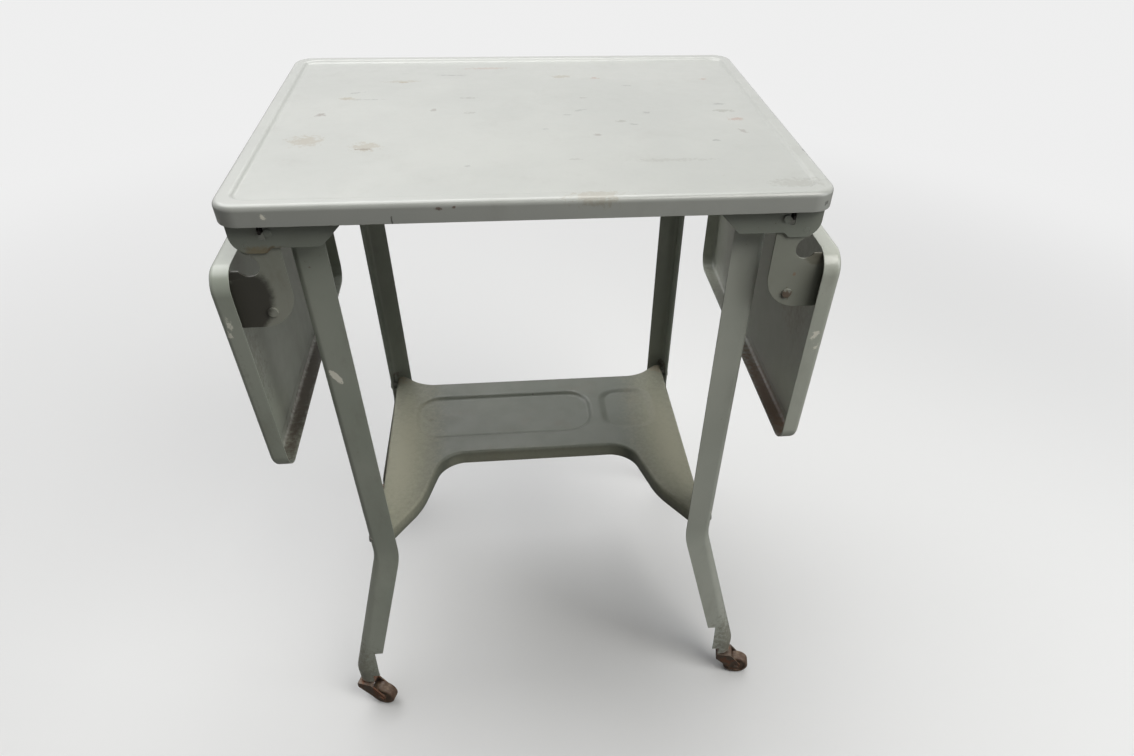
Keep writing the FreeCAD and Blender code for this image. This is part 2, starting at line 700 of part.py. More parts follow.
def make_leg(label, out_x, out_y, wide_x, wide_y, side_faces_x):
    """Bent angle, wide_x by wide_y; its outer edge flares from the local origin by (out_x, out_y)."""
    body = new_body(label)
    section = new_sketch(body, "XY", "section", leg_top)
    thick = leg_sheet
    draw_outline(section, [
        (-wide_x, 0, 0), (-wide_x, -thick, 0), (-thick, -thick, leg_round - thick),
        (-thick, -wide_y, 0), (0, -wide_y, 0), (0, 0, leg_round)])
    path = new_sketch(body, "XZ", "path")
    path.AttachmentOffset = FreeCAD.Placement(V(0, 0, 0), FreeCAD.Rotation(V(0, 1, 0), 1))
    bind(path, "AttachmentOffset.Rotation.Angle", Term(f"atan2({out_y.text}; {out_x.text})", 0))
    draw_leg_path(path)
    pipe = body.newObject("PartDesign::AdditivePipe", label + "_pipe")
    pipe.Profile = section
    pipe.Spine = (path, [])
    body.Tip = pipe
    document.recompute()
    for role, out, wide in (("XZ", out_x, wide_x), ("YZ", out_y, wide_y)):
        trim = new_sketch(body, role, "trim_" + role)
        draw_outline(trim, [
            (-wide - past, foot_notch, 0),
            (out - foot_width, foot_notch, 0),
            (out - foot_width, foot_step, 0),
            (out - foot_tip, foot_step, 0),
            (out - foot_tip, foot_height - past, 0),
            (-wide - past, foot_height - past, 0)])
        pocket(body, trim, symmetric=True)
    hole = new_sketch(body, "YZ" if side_faces_x else "XZ", "hole")
    draw_circle(hole, -bolt_setback, bolt_height, bolt / 2 + bolt_hole_play)
    pocket(body, hole, past * 2, symmetric=True)
    sub_parts.append(body)
    return body


def draw_leg_path(path):
    """Upright line, knee, slanting line, ankle and a short upright line down to the foot."""
    bend = path_bend()
    down = [V(0, leg_top.value, 0), V(0, knee_height.value, 0)]
    knee, ankle = knee_radius.value, ankle_radius.value
    knee_end = V(knee * (1 - math.cos(bend)), knee_height.value - knee * math.sin(bend), 0)
    ankle_rise = ankle * math.sin(bend)
    ankle_start = V(flare.value - ankle * (1 - math.cos(bend)), ankle_height.value + ankle_rise, 0)
    foot = [V(flare.value, ankle_height.value, 0), V(flare.value, foot_height.value, 0)]
    upper = path.addGeometry(Part.LineSegment(*down), False)
    knee_circle = Part.Circle(V(knee, knee_height.value, 0), V(0, 0, 1), knee)
    first = path.addGeometry(Part.ArcOfCircle(knee_circle, math.pi, math.pi + bend), False)
    slant = path.addGeometry(Part.LineSegment(knee_end, ankle_start), False)
    ankle_circle = Part.Circle(V(flare.value - ankle, ankle_height.value, 0), V(0, 0, 1), ankle)
    second = path.addGeometry(Part.ArcOfCircle(ankle_circle, 0, bend), False)
    lower = path.addGeometry(Part.LineSegment(*foot), False)
    place_vertex(path, upper, 1, 0, leg_top)
    place_vertex(path, upper, 2, 0, knee_height)
    place_vertex(path, lower, 1, flare, ankle_height)
    place_vertex(path, lower, 2, flare, foot_height)
    for before, end, after, begin in ((upper, 2, first, 1), (first, 2, slant, 1),
                                      (slant, 2, second, 2), (second, 1, lower, 1)):
        path.addConstraint(Sketcher.Constraint("Tangent", before, end, after, begin))
    for arc, radius in ((first, knee_radius), (second, ankle_radius)):
        number = path.addConstraint(Sketcher.Constraint("Radius", arc, radius.value))
        bind(path, f"Constraints[{number}]", radius)


def path_bend():
    """Angle of the slanting stretch, found by halving."""
    low, high = 0.0, math.pi / 3
    radii = knee_radius.value + ankle_radius.value
    fall = knee_height.value - ankle_height.value
    for _ in range(60):
        angle = (low + high) / 2
        reach = radii * (1 - math.cos(angle)) + (fall - radii * math.sin(angle)) * math.tan(angle)
        low, high = (angle, high) if reach < flare.value else (low, angle)
    return (low + high) / 2


LEG_TURNS = {"front_left": 180.0, "front_right": -90.0, "rear_left": 90.0, "rear_right": 0.0}
for corner, across, along in CORNERS:
    straight = across == along
    outward = (flare_x, flare_y) if straight else (flare_y, flare_x)
    facing = (leg_flange, leg_narrow) if along < 0 else (leg_narrow, leg_flange)
    leg = make_leg("leg_" + corner, *outward, *(facing if straight else facing[::-1]), straight)
    place(leg, across * leg_x, along * leg_y, 0, LEG_TURNS[corner])


# ---------------------------------------------------------------- shelf and its bolts
def make_shelf():
    """Pressed shelf: scoops front and back, folded flanges, two shallow recesses."""
    body = new_body("shelf")
    outline = new_sketch(body, "XY", "outline", shelf_height - shelf_drop)
    side, end = leg_inner_x - shelf_stand_off, leg_inner_y - horn_setback
    tip = side - horn_tip
    right = [
        (scoop_front_half, scoop_front_edge, scoop_inner_round),
        (scoop_flank_half, scoop_flank_edge, scoop_outer_round),
        (tip, -end, shelf_fold + 0.5), (side, -end, shelf_fold + 0.5), (side, end, shelf_fold + 0.5),
        (tip, end, shelf_fold + 0.5), (scoop_back_half, scoop_back_edge, scoop_back_round)]
    left = [(-x, y, radius) for x, y, radius in reversed(right)]
    draw_outline(outline, right + left)
    pad(body, outline, shelf_drop)
    fillet(body, shelf_fold, flat_edges(shelf_height))
    low, high = recess_middle - recess_span / 2, recess_middle + recess_span / 2
    sink(body, "long_recess", shelf_height, recess_depth, recess_slope,
         (long_recess_left, low), (long_recess_right, high), long_recess_round)
    sink(body, "short_recess", shelf_height, recess_depth, recess_slope,
         (short_recess_left, low), (short_recess_right, high), short_recess_round)
    hollow_from_below(body, sheet_metal, shelf_height - shelf_drop)
    holes = new_sketch(body, "YZ", "holes")
    for along in (-1, 1):
        draw_circle(holes, along * bolt_y, bolt_height, bolt / 2 + bolt_hole_play)
    pocket(body, holes, symmetric=True)
    sub_parts.append(body)


make_shelf()
bolts, nuts, spacers = [], [], []
grip = leg_sheet + shelf_stand_off + sheet_metal
bolt_reach = grip + nut_height + size("bolt_end", 1, "bolt's end past its nut")
for corner, across, along in CORNERS:
    spans = ((bolt / 2, bolt_reach, leg_x - bolt_reach), (bolt_head / 2, bolt_head_height, leg_x))
    pieces = []
    for number, (radius, length, start) in enumerate(spans):
        piece = cylinder(f"Bolt_{corner}_{number}", radius, length)
        place(piece, across * start, along * bolt_y, bolt_height, 90.0 * across, V(0, 1, 0))
        pieces.append(piece)
    bolts.append(fused("Bolt_" + corner, *pieces))
    hexagon = document.addObject("Part::Prism", f"Hexagon_{corner}")
    hexagon.Polygon = 6
    bind(hexagon, "Circumradius", nut_width / 2)
    bind(hexagon, "Height", nut_height)
    bore = cylinder(f"NutBore_{corner}", bolt / 2 + seat_play, nut_height)
    nut = document.addObject("Part::Cut", "Nut_" + corner)
    nut.Base = hexagon
    nut.Tool = bore
    place(nut, across * (leg_x - grip - nut_height), along * bolt_y, bolt_height, 90.0 * across, V(0, 1, 0))
    nuts.append(nut)
    collar = cylinder(f"Collar_{corner}", spacer / 2, shelf_stand_off)
    passage = cylinder(f"CollarBore_{corner}", bolt / 2 + bolt_hole_play, shelf_stand_off)
    standoff = document.addObject("Part::Cut", "Spacer_" + corner)
    standoff.Base = collar
    standoff.Tool = passage
    start = leg_inner_x - shelf_stand_off
    place(standoff, across * start, along * bolt_y, bolt_height, 90.0 * across, V(0, 1, 0))
    spacers.append(standoff)
sub_parts.append(group("shelf_bolts", bolts))
sub_parts.append(group("shelf_nuts", nuts))
sub_parts.append(group("shelf_spacers", spacers))


# ---------------------------------------------------------------- casters
fork_top = foot_height - side_play - stem_collar_height
crown_low = fork_top - fork_sheet
wheel_radius = wheel / 2
slot_half = wheel_width / 2 + fork_play
cheek_half = slot_half + fork_sheet
# How each caster stands, as degrees of its trailing direction from +X
SWIVELS = {"front_left": -20.0, "front_right": -12.0, "rear_left": 168.0, "rear_right": 160.0}


def make_fork(label):
    """Pressed fork: round head under the stem, back wall and two cheeks down to the axle."""
    body = new_body(label)
    cheek = new_sketch(body, "XZ", "cheek")
    draw_outline(cheek, [
        (-fork_head, fork_top, edge_round / 2),
        (-fork_head, fork_top - fork_head, edge_round),
        (trail - fork_eye, wheel_radius - fork_eye, edge_round),
        (trail + fork_eye, wheel_radius - fork_eye, edge_round),
        (trail + fork_eye, wheel_radius + fork_eye, edge_round),
        (fork_head, fork_top, edge_round)])
    pad(body, cheek, cheek_half * 2, symmetric=True)
    inside = new_sketch(body, "XZ", "inside")
    draw_box(inside, (fork_sheet - fork_head, -past), (trail + wheel, crown_low))
    pocket(body, inside, slot_half * 2, symmetric=True)
    holes = new_sketch(body, "XZ", "axle_hole")
    draw_circle(holes, trail, wheel_radius, axle / 2 + seat_play)
    pocket(body, holes, symmetric=True)
    eye = new_sketch(body, "XY", "stem_hole", fork_top)
    draw_circle(eye, 0, 0, stem / 2 + seat_play)
    pocket(body, eye, fork_sheet * 2)
    sub_parts.append(body)
    return body


def make_stem(label):
    """Stem with its collar above the fork's head and its riveted end below."""
    body = new_body(label)
    half = new_sketch(body, "XZ", "half")
    radius, collar, lead = stem / 2, stem_collar / 2, edge_round / 3
    foot = crown_low - axle_head_height
    draw_outline(half, [
        (0, foot, 0), (radius + axle_head_height, foot, 0), (radius + axle_head_height, crown_low, 0),
        (radius, crown_low, 0), (radius, fork_top, 0), (collar, fork_top, 0),
        (collar, fork_top + stem_collar_height, 0), (radius, fork_top + stem_collar_height, 0),
        (radius, stem_top - lead, 0), (radius - lead, stem_top, 0), (0, stem_top, 0)])
    turned = body.newObject("PartDesign::Revolution", label + "_turned")
    turned.Profile = half
    turned.ReferenceAxis = (half, ["V_Axis"])
    turned.Angle = 360
    body.Tip = turned
    document.recompute()
    sub_parts.append(body)
    return body


def make_wheel(label):
    """Solid wheel: crowned tread, a ring sunk round the hub on both faces, and a proud hub."""
    body = new_body(label)
    half = new_sketch(body, "XY", "half", wheel_radius)
    spindle = half.addGeometry(Part.LineSegment(V(0, -1, 0), V(0, 1, 0)), True)
    place_vertex(half, spindle, 1, trail, -wheel_width)
    place_vertex(half, spindle, 2, trail, wheel_width)
    face, hub_face = wheel_width / 2, wheel_width / 2 + fork_play / 2
    ring, crown = face - hub_recess, wheel_crown
    upper = [(wheel_radius, face - crown), (wheel_radius - crown * 0.3, face - crown * 0.3),
             (wheel_radius - crown, face), (wheel_radius - tread, face), (wheel_radius - tread, ring),
             (hub / 2, ring), (hub / 2, hub_face), (axle / 2 + running_fit, hub_face)]
    lower = [(radius, -rise) for radius, rise in reversed(upper)]
    draw_outline(half, [(trail + radius, rise, 0) for radius, rise in upper + lower])
    turned = body.newObject("PartDesign::Revolution", label + "_turned")
    turned.Profile = half
    turned.ReferenceAxis = (half, ["Axis0"])
    turned.Angle = 360
    body.Tip = turned
    document.recompute()
    sub_parts.append(body)
    return body


def make_axle(label):
    """Plain pin through both cheeks with a riveted head at each end."""
    body = new_body(label)
    shank = new_sketch(body, "XZ", "shank")
    draw_circle(shank, trail, wheel_radius, axle / 2)
    pad(body, shank, (cheek_half + axle_head_height) * 2, symmetric=True)
    for face, reverse in ((1, False), (-1, True)):
        head = new_sketch(body, "XZ", "head_front" if face > 0 else "head_rear", face * cheek_half)
        draw_circle(head, trail, wheel_radius, axle_head / 2)
        pad(body, head, axle_head_height, reverse=reverse)
    sub_parts.append(body)
    return body


for corner, across, along in CORNERS:
    outer = cylinder(f"SocketOuter_{corner}", socket_radius, socket_top - foot_height)
    inner = cylinder(f"SocketInner_{corner}", stem / 2 + running_fit, socket_top - foot_height)
    socket = document.addObject("Part::Cut", "Socket_" + corner)
    socket.Label = "caster_socket_" + corner
    socket.Base = outer
    socket.Tool = inner
    place(socket, across * stem_x, along * stem_y, foot_height)
    sub_parts.append(socket)
    makers = ((make_fork, "fork"), (make_stem, "stem"), (make_wheel, "wheel"), (make_axle, "axle"))
    for make, name in makers:
        piece = make(f"caster_{name}_{corner}")
        place(piece, across * stem_x, along * stem_y, 0, SWIVELS[corner])


# ---------------------------------------------------------------- tests and files
document.recompute()
for item in document.Objects:
    if "Invalid" in item.State or "Error" in item.State:
        raise RuntimeError(f"{item.Label}: {item.State}")
os.makedirs("parts", exist_ok=True)
for item in sub_parts:
    if item.Shape.isNull() or not item.Shape.isValid() or not item.Shape.Solids:
        raise RuntimeError(f"{item.Label} has no sound solid")
for item in sub_parts:
    item.Shape.exportStep(f"parts/{item.Label}.step")
print(len(sub_parts), "sub-parts written")
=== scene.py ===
"""Typewriter table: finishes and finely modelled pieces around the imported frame."""
import json
import logging
import math
from collections.abc import Iterable, Sequence
from dataclasses import dataclass, field
from enum import Enum
from functools import reduce

import bmesh
import bpy
from mathutils import Matrix, Vector


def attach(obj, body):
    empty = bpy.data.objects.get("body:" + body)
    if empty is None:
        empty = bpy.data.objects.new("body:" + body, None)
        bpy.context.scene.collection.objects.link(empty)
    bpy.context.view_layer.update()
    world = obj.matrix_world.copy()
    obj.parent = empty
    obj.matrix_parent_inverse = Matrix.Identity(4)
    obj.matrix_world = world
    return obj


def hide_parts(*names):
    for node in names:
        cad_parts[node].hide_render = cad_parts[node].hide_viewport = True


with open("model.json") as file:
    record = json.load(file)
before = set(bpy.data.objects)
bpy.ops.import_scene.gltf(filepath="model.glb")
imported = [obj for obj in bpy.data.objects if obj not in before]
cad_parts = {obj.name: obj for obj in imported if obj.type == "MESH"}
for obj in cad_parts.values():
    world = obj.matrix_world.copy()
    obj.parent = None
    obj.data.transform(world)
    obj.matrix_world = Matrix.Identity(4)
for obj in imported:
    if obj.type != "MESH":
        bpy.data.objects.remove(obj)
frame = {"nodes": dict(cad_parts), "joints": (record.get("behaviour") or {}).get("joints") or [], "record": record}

LOG = logging.getLogger("typewriter_table")
MM = 0.001
EDGE_WEAR = "edge_wear"
Pair = tuple[float, float]
Triple = tuple[float, float, float]
Colour = Triple


# ---------------------------------------------------------------- camera and studio
@dataclass(frozen=True)
class ViewingCamera:
    """The camera: where it stands, how it is turned, and its lens as a pinhole.

    Angles are in radians. The image is taken to be 1134 by 756 pixels.
    """

    place: Triple = (-21.31 * MM, -726.87 * MM, 909.18 * MM)
    yaw: float = 0.1249
    pitch: float = 0.7566
    roll: float = 0.0279
    focal_px: float = 750.93
    centre_px: Pair = (590.23, 470.06)
    image_px: tuple[int, int] = (1134, 756)
    sensor: float = 36.0
    near_clip: float = 0.01

    def build(self) -> bpy.types.Object:
        """Make the camera and set it as the scene's own.

        Returns:
            The camera object.
        """
        ahead = Vector((math.sin(self.yaw) * math.cos(self.pitch),
                        math.cos(self.yaw) * math.cos(self.pitch), -math.sin(self.pitch)))
        level = Vector((math.cos(self.yaw), -math.sin(self.yaw), 0.0))
        upright = level.cross(ahead)
        right = level * math.cos(self.roll) + upright * math.sin(self.roll)
        up = upright * math.cos(self.roll) - level * math.sin(self.roll)
        lens = bpy.data.cameras.new("camera")
        width, height = self.image_px
        lens.sensor_width = self.sensor
        lens.lens = self.focal_px / width * self.sensor
        lens.shift_x = (width / 2 - self.centre_px[0]) / width
        lens.shift_y = (self.centre_px[1] - height / 2) / width
        lens.clip_start = self.near_clip
        camera = bpy.data.objects.new("camera", lens)
        turn = Matrix((right, up, -ahead)).transposed().to_4x4()
        camera.matrix_world = Matrix.Translation(self.place) @ turn
        bpy.context.scene.collection.objects.link(camera)
        bpy.context.scene.camera = camera
        return camera


@dataclass(frozen=True)
class SoftLamp:
    """One large area lamp that looks at the table."""

    name: str
    place: Triple
    size: float
    watts: float
    colour: Colour = (1.0, 1.0, 1.0)
    target: Triple = (0.0, 0.0, 0.45)

    def build(self) -> bpy.types.Object:
        """Hang the lamp and turn it towards its target.

        Returns:
            The lamp.
        """
        light = bpy.data.lights.new(self.name, "AREA")
        light.shape = "DISK"
        light.size = self.size
        light.energy = self.watts
        light.color = self.colour
        lamp = bpy.data.objects.new(self.name, light)
        lamp.location = self.place
        lamp.rotation_euler = (Vector(self.target) - lamp.location).to_track_quat("-Z", "Y").to_euler()
        bpy.context.scene.collection.objects.link(lamp)
        return lamp


@dataclass(frozen=True)
class Studio:
    """Plain pale floor, soft lamps and an even world.

    The floor is pale where the camera sees it and sends little light back up. The world is dim as
    a light and white where the camera sees it. As a mirrored ray's Y goes through mirrored_way, its
    strength goes through mirrored_light.
    """

    floor_span: float = 14.0
    floor_seen: Colour = (0.80, 0.80, 0.795)
    floor_bounce: Colour = (0.14, 0.135, 0.125)
    far_colour: Colour = (0.86, 0.86, 0.86)
    floor_roughness: float = 0.75
    fade: Pair = (0.7, 2.1)
    world_colour: Colour = (0.95, 0.97, 1.0)
    world_strength: float = 0.09
    mirrored_way: Pair = (-0.3, 0.4)
    mirrored_light: Pair = (0.26, 1.0)
    lamps: tuple[SoftLamp, ...] = (
        SoftLamp("key_lamp", (-0.55, 0.8, 2.7), 3.4, 74.0),
        SoftLamp("front_lamp", (1.0, -1.2, 2.3), 1.5, 26.0, (1.0, 0.985, 0.95)),
        SoftLamp("side_lamp", (1.7, -0.9, 1.2), 1.0, 8.0, (0.95, 0.98, 1.0)),
    )

    def build(self) -> None:
        """Lay the floor, hang the lamps and set the world and the view transform."""
        scene = bpy.context.scene
        scene.view_settings.view_transform = "Standard"
        scene.world = self.world()
        mesh = bpy.data.meshes.new("floor")
        shape = bmesh.new()
        bmesh.ops.create_grid(shape, x_segments=1, y_segments=1, size=self.floor_span / 2)
        shape.to_mesh(mesh)
        shape.free()
        floor = bpy.data.objects.new("floor", mesh)
        scene.collection.objects.link(floor)
        mesh.materials.append(self.floor_finish())
        for lamp in self.lamps:
            lamp.build()

    def floor_finish(self) -> bpy.types.Material:
        """Make the floor's finish: pale, with the table's shadow, and an even tone further off.

        Returns:
            The finish.
        """
        nodes = NodeSheet("floor")
        seen = nodes.node("LightPath", {}).outputs["Is Camera Ray"]
        near = nodes.shader(nodes.mix(seen, self.floor_bounce, self.floor_seen), self.floor_roughness)
        far = nodes.node("Emission", {}, Color=self.far_colour, Strength=1.0)
        reach = nodes.node("VectorMath", {"operation": "LENGTH"}, Vector=nodes.place).outputs["Value"]
        share = nodes.math("MULTIPLY", seen, nodes.ramp(reach, *self.fade))
        both = nodes.node("MixShader", {}, Fac=share)
        nodes.tree.links.new(near.outputs[0], both.inputs[1])
        nodes.tree.links.new(far.outputs[0], both.inputs[2])
        nodes.tree.links.new(both.outputs[0], nodes.output.inputs["Surface"])
        return nodes.material

    def world(self) -> bpy.types.World:
        """Make the world: dim light all round, white where it is seen or mirrored.

        Returns:
            The world.
        """
        world = bpy.data.worlds.new("studio")
        world.use_nodes = True
        tree = world.node_tree
        path = tree.nodes.new("ShaderNodeLightPath").outputs
        way = tree.nodes.new("ShaderNodeTexCoord").outputs["Generated"]
        along = tree.nodes.new("ShaderNodeSeparateXYZ")
        tree.links.new(way, along.inputs[0])
        mirrored = tree.nodes.new("ShaderNodeMapRange")
        mirrored.interpolation_type = "SMOOTHSTEP"
        tree.links.new(along.outputs["Y"], mirrored.inputs["Value"])
        numbers = (*self.mirrored_way, *self.mirrored_light)
        for name, number in zip(("From Min", "From Max", "To Min", "To Max"), numbers):
            mirrored.inputs[name].default_value = number
        light = tree.nodes["Background"]
        light.inputs["Color"].default_value = (*self.world_colour, 1.0)
        light.inputs["Strength"].default_value = self.world_strength
        last = light.outputs[0]
        for ray, strength in (("Is Glossy Ray", mirrored.outputs[0]), ("Is Camera Ray", 1.0)):
            white = tree.nodes.new("ShaderNodeBackground")
            if isinstance(strength, float):
                white.inputs["Strength"].default_value = strength
            else:
                tree.links.new(strength, white.inputs["Strength"])
            choice = tree.nodes.new("ShaderNodeMixShader")
            tree.links.new(path[ray], choice.inputs["Fac"])
            tree.links.new(last, choice.inputs[1])
            tree.links.new(white.outputs[0], choice.inputs[2])
            last = choice.outputs[0]
        tree.links.new(last, tree.nodes["World Output"].inputs["Surface"])
        return world


# ---------------------------------------------------------------- node helper
# Numbers of a Mix node's two value inputs and of its output, by the kind of value.
MIX_SOCKETS = {"RGBA": (6, 7, 2), "FLOAT": (2, 3, 0)}


class NodeSheet:
    """A material's node tree, with one short method for each kind of node."""

    def __init__(self, name: str) -> None:
        """Start an empty material with its output node.

        Args:
            name: the material's name.
        """
        self.material = bpy.data.materials.new(name)
        self.material.use_nodes = True
        self.tree = self.material.node_tree
        self.tree.nodes.clear()
        self.output = self.tree.nodes.new("ShaderNodeOutputMaterial")
        self.place = self.tree.nodes.new("ShaderNodeTexCoord").outputs["Object"]

    def put(self, socket: bpy.types.NodeSocket, value: object) -> None:
        """Give a socket a link or a plain value.

        Args:
            socket: the input.
            value: another node's output, a number, or a colour of three numbers.
        """
        if isinstance(value, bpy.types.NodeSocket):
            self.tree.links.new(value, socket)
        elif isinstance(value, tuple) and socket.type == "RGBA":
            socket.default_value = (*value, 1.0)
        else:
            socket.default_value = value

    def node(self, kind: str, settings: dict[str, object], **inputs: object) -> bpy.types.Node:
        """Add a node.

        Args:
            kind: Blender's node type without its "ShaderNode" prefix.
            settings: properties of the node.
            inputs: sockets by name, with spaces written as underscores.

        Returns:
            The new node.
        """
        made = self.tree.nodes.new("ShaderNode" + kind)
        for key, value in settings.items():
            setattr(made, key, value)
        for key, value in inputs.items():
            self.put(made.inputs[key.replace("_", " ")], value)
        return made

    def math(self, operation: str, first: object, second: object) -> bpy.types.NodeSocket:
        """Work out one number from two.

        Args:
            operation: the Math node's operation.
            first: its first value.
            second: its second value.

        Returns:
            The result's socket.
        """
        made = self.node("Math", {"operation": operation})
        self.put(made.inputs[0], first)
        self.put(made.inputs[1], second)
        return made.outputs[0]

    def ramp(self, value: object, low: float, high: float, low_out: float = 0.0,
             high_out: float = 1.0) -> bpy.types.NodeSocket:
        """Go smoothly from low_out to high_out.

        Args:
            value: the number that steers the ramp.
            low: where the ramp starts.
            high: where it ends.
            low_out: its result at the start and below.
            high_out: its result at the end and above.

        Returns:
            The result's socket.
        """
        made = self.node("MapRange", {"interpolation_type": "SMOOTHSTEP"})
        for index, number in enumerate((value, low, high, low_out, high_out)):
            self.put(made.inputs[index], number)
        return made.outputs[0]

    def blend(self, kind: str, share: object, first: object, second: object) -> bpy.types.NodeSocket:
        """Go from one value to another.

        Args:
            kind: RGBA for colours, FLOAT for numbers.
            share: 0 for the first value, 1 for the second.
            first: the value at 0.
            second: the value at 1.

        Returns:
            The result's socket.
        """
        made = self.node("Mix", {"data_type": kind})
        low, high, result = MIX_SOCKETS[kind]
        self.put(made.inputs[0], share)
        self.put(made.inputs[low], first)
        self.put(made.inputs[high], second)
        return made.outputs[result]

    def mix(self, share: object, first: object, second: object) -> bpy.types.NodeSocket:
        """Go from one colour to another, as blend does."""
        return self.blend("RGBA", share, first, second)

    def level(self, share: object, first: object, second: object) -> bpy.types.NodeSocket:
        """Go from one number to another, as blend does."""
        return self.blend("FLOAT", share, first, second)

    def bump(self, height: object, distance: float, strength: float = 1.0,
             normal: object = None) -> bpy.types.NodeSocket:
        """Add a bump.

        Args:
            height: the pattern, from 0 to 1.
            distance: how high 1 stands, in metres.
            strength: how much of it is used.
            normal: a bump that this one is laid over.

        Returns:
            The normal's socket.
        """
        made = self.node("Bump", {}, Height=height, Distance=distance, Strength=strength)
        if normal is not None:
            self.put(made.inputs["Normal"], normal)
        return made.outputs[0]

    def shader(self, colour: object, roughness: object, metallic: object = 0.0,
               normal: object = None) -> bpy.types.Node:
        """Make the Principled shader and link it to the output.

        Args:
            colour: base colour.
            roughness: roughness.
            metallic: share of bare metal.
            normal: the surface's bumps.

        Returns:
            The shader.
        """
        made = self.node("BsdfPrincipled", {}, Base_Color=colour, Roughness=roughness, Metallic=metallic)
        if normal is not None:
            self.put(made.inputs["Normal"], normal)
        self.tree.links.new(made.outputs[0], self.output.inputs["Surface"])
        return made


# ---------------------------------------------------------------- finishes
MARK_EDGE = 0.85


class Tone(Enum):
    """What a mark on the paint is made of: its colour and how rough it is. The brown rust tone and the grease tone
    also serve as painted shade.
    """

    TAN_STAIN = ((0.22, 0.155, 0.055), 0.55)
    RED_RUST = ((0.31, 0.145, 0.085), 0.80)
    BROWN_RUST = ((0.105, 0.060, 0.035), 0.85)
    OLD_GREASE = ((0.030, 0.026, 0.020), 0.55)
    DARK_SCRATCH = ((0.075, 0.075, 0.065), 0.60)
    PALE_CHIP = ((0.84, 0.82, 0.71), 0.70)
    GREY_GRIME = ((0.17, 0.16, 0.12), 0.65)
    DUST = ((0.50, 0.485, 0.365), 0.90)

    def __init__(self, colour: Colour, roughness: float) -> None:
        """Keep the two values under their own names."""
        self.colour = colour
        self.roughness = roughness


@dataclass(frozen=True)
class Grain:
    """Noise of one fineness, and the span of its values over which a mask of it comes up."""

    scale: float
    detail: float
    rough: float = 0.5
    span: Pair = (0.0, 1.0)
    stretch: Triple = (1.0, 1.0, 1.0)

    def noise(self, nodes: NodeSheet) -> bpy.types.NodeSocket:
        """Lay the noise over the piece's own coordinates.

        Args:
            nodes: the material's nodes.

        Returns:
            The noise's socket, from 0 to 1.
        """
        mapped = nodes.node("Mapping", {}, Vector=nodes.place, Scale=self.stretch).outputs[0]
        return nodes.node("TexNoise", {}, Vector=mapped, Scale=self.scale, Detail=self.detail,
                          Roughness=self.rough).outputs["Fac"]

    def mask(self, nodes: NodeSheet, low: float = 0.0, high: float = 1.0,
             shift: float = 0.0) -> bpy.types.NodeSocket:
        """Make a mask of the noise.

        Args:
            nodes: the material's nodes.
            low: its value where the noise is below the span.
            high: its value where the noise is above the span.
            shift: how far the span is moved down.

        Returns:
            The mask's socket.
        """
        return nodes.ramp(self.noise(nodes), self.span[0] - shift, self.span[1] - shift, low, high)


@dataclass(frozen=True)
class Mark:
    """One stain, scratch or chip, or a patch of painted shade: an oval with ragged edges, in millimetres of the
    part's frame.

    Its edge lies at MARK_EDGE of its half size. soft is how far the edge fades to either side, and
    torn how ragged it is.
    """

    tone: Tone
    place: Triple
    size: Triple
    strength: float = 0.5
    turn: Triple = (0.0, 0.0, 0.0)
    soft: float = 0.3
    torn: float = 1.0

    def mask(self, nodes: NodeSheet, ragged: bpy.types.NodeSocket) -> bpy.types.NodeSocket:
        """Make the mark's mask: its strength inside, 0 outside, broken up by noise.

        Args:
            nodes: the material's nodes.
            ragged: noise about 0 that breaks the outline up.

        Returns:
            The mask's socket.
        """
        mapping = nodes.node("Mapping", {"vector_type": "TEXTURE"}, Vector=nodes.place,
                             Location=tuple(value * MM for value in self.place),
                             Rotation=tuple(math.radians(value) for value in self.turn),
                             Scale=tuple(value * MM / 2 for value in self.size))
        reach = nodes.node("VectorMath", {"operation": "LENGTH"}, Vector=mapping.outputs[0]).outputs["Value"]
        torn = nodes.math("MULTIPLY", ragged, self.torn)
        return nodes.ramp(nodes.math("ADD", reach, torn), MARK_EDGE + self.soft, MARK_EDGE - self.soft, 0.0,
                          self.strength)


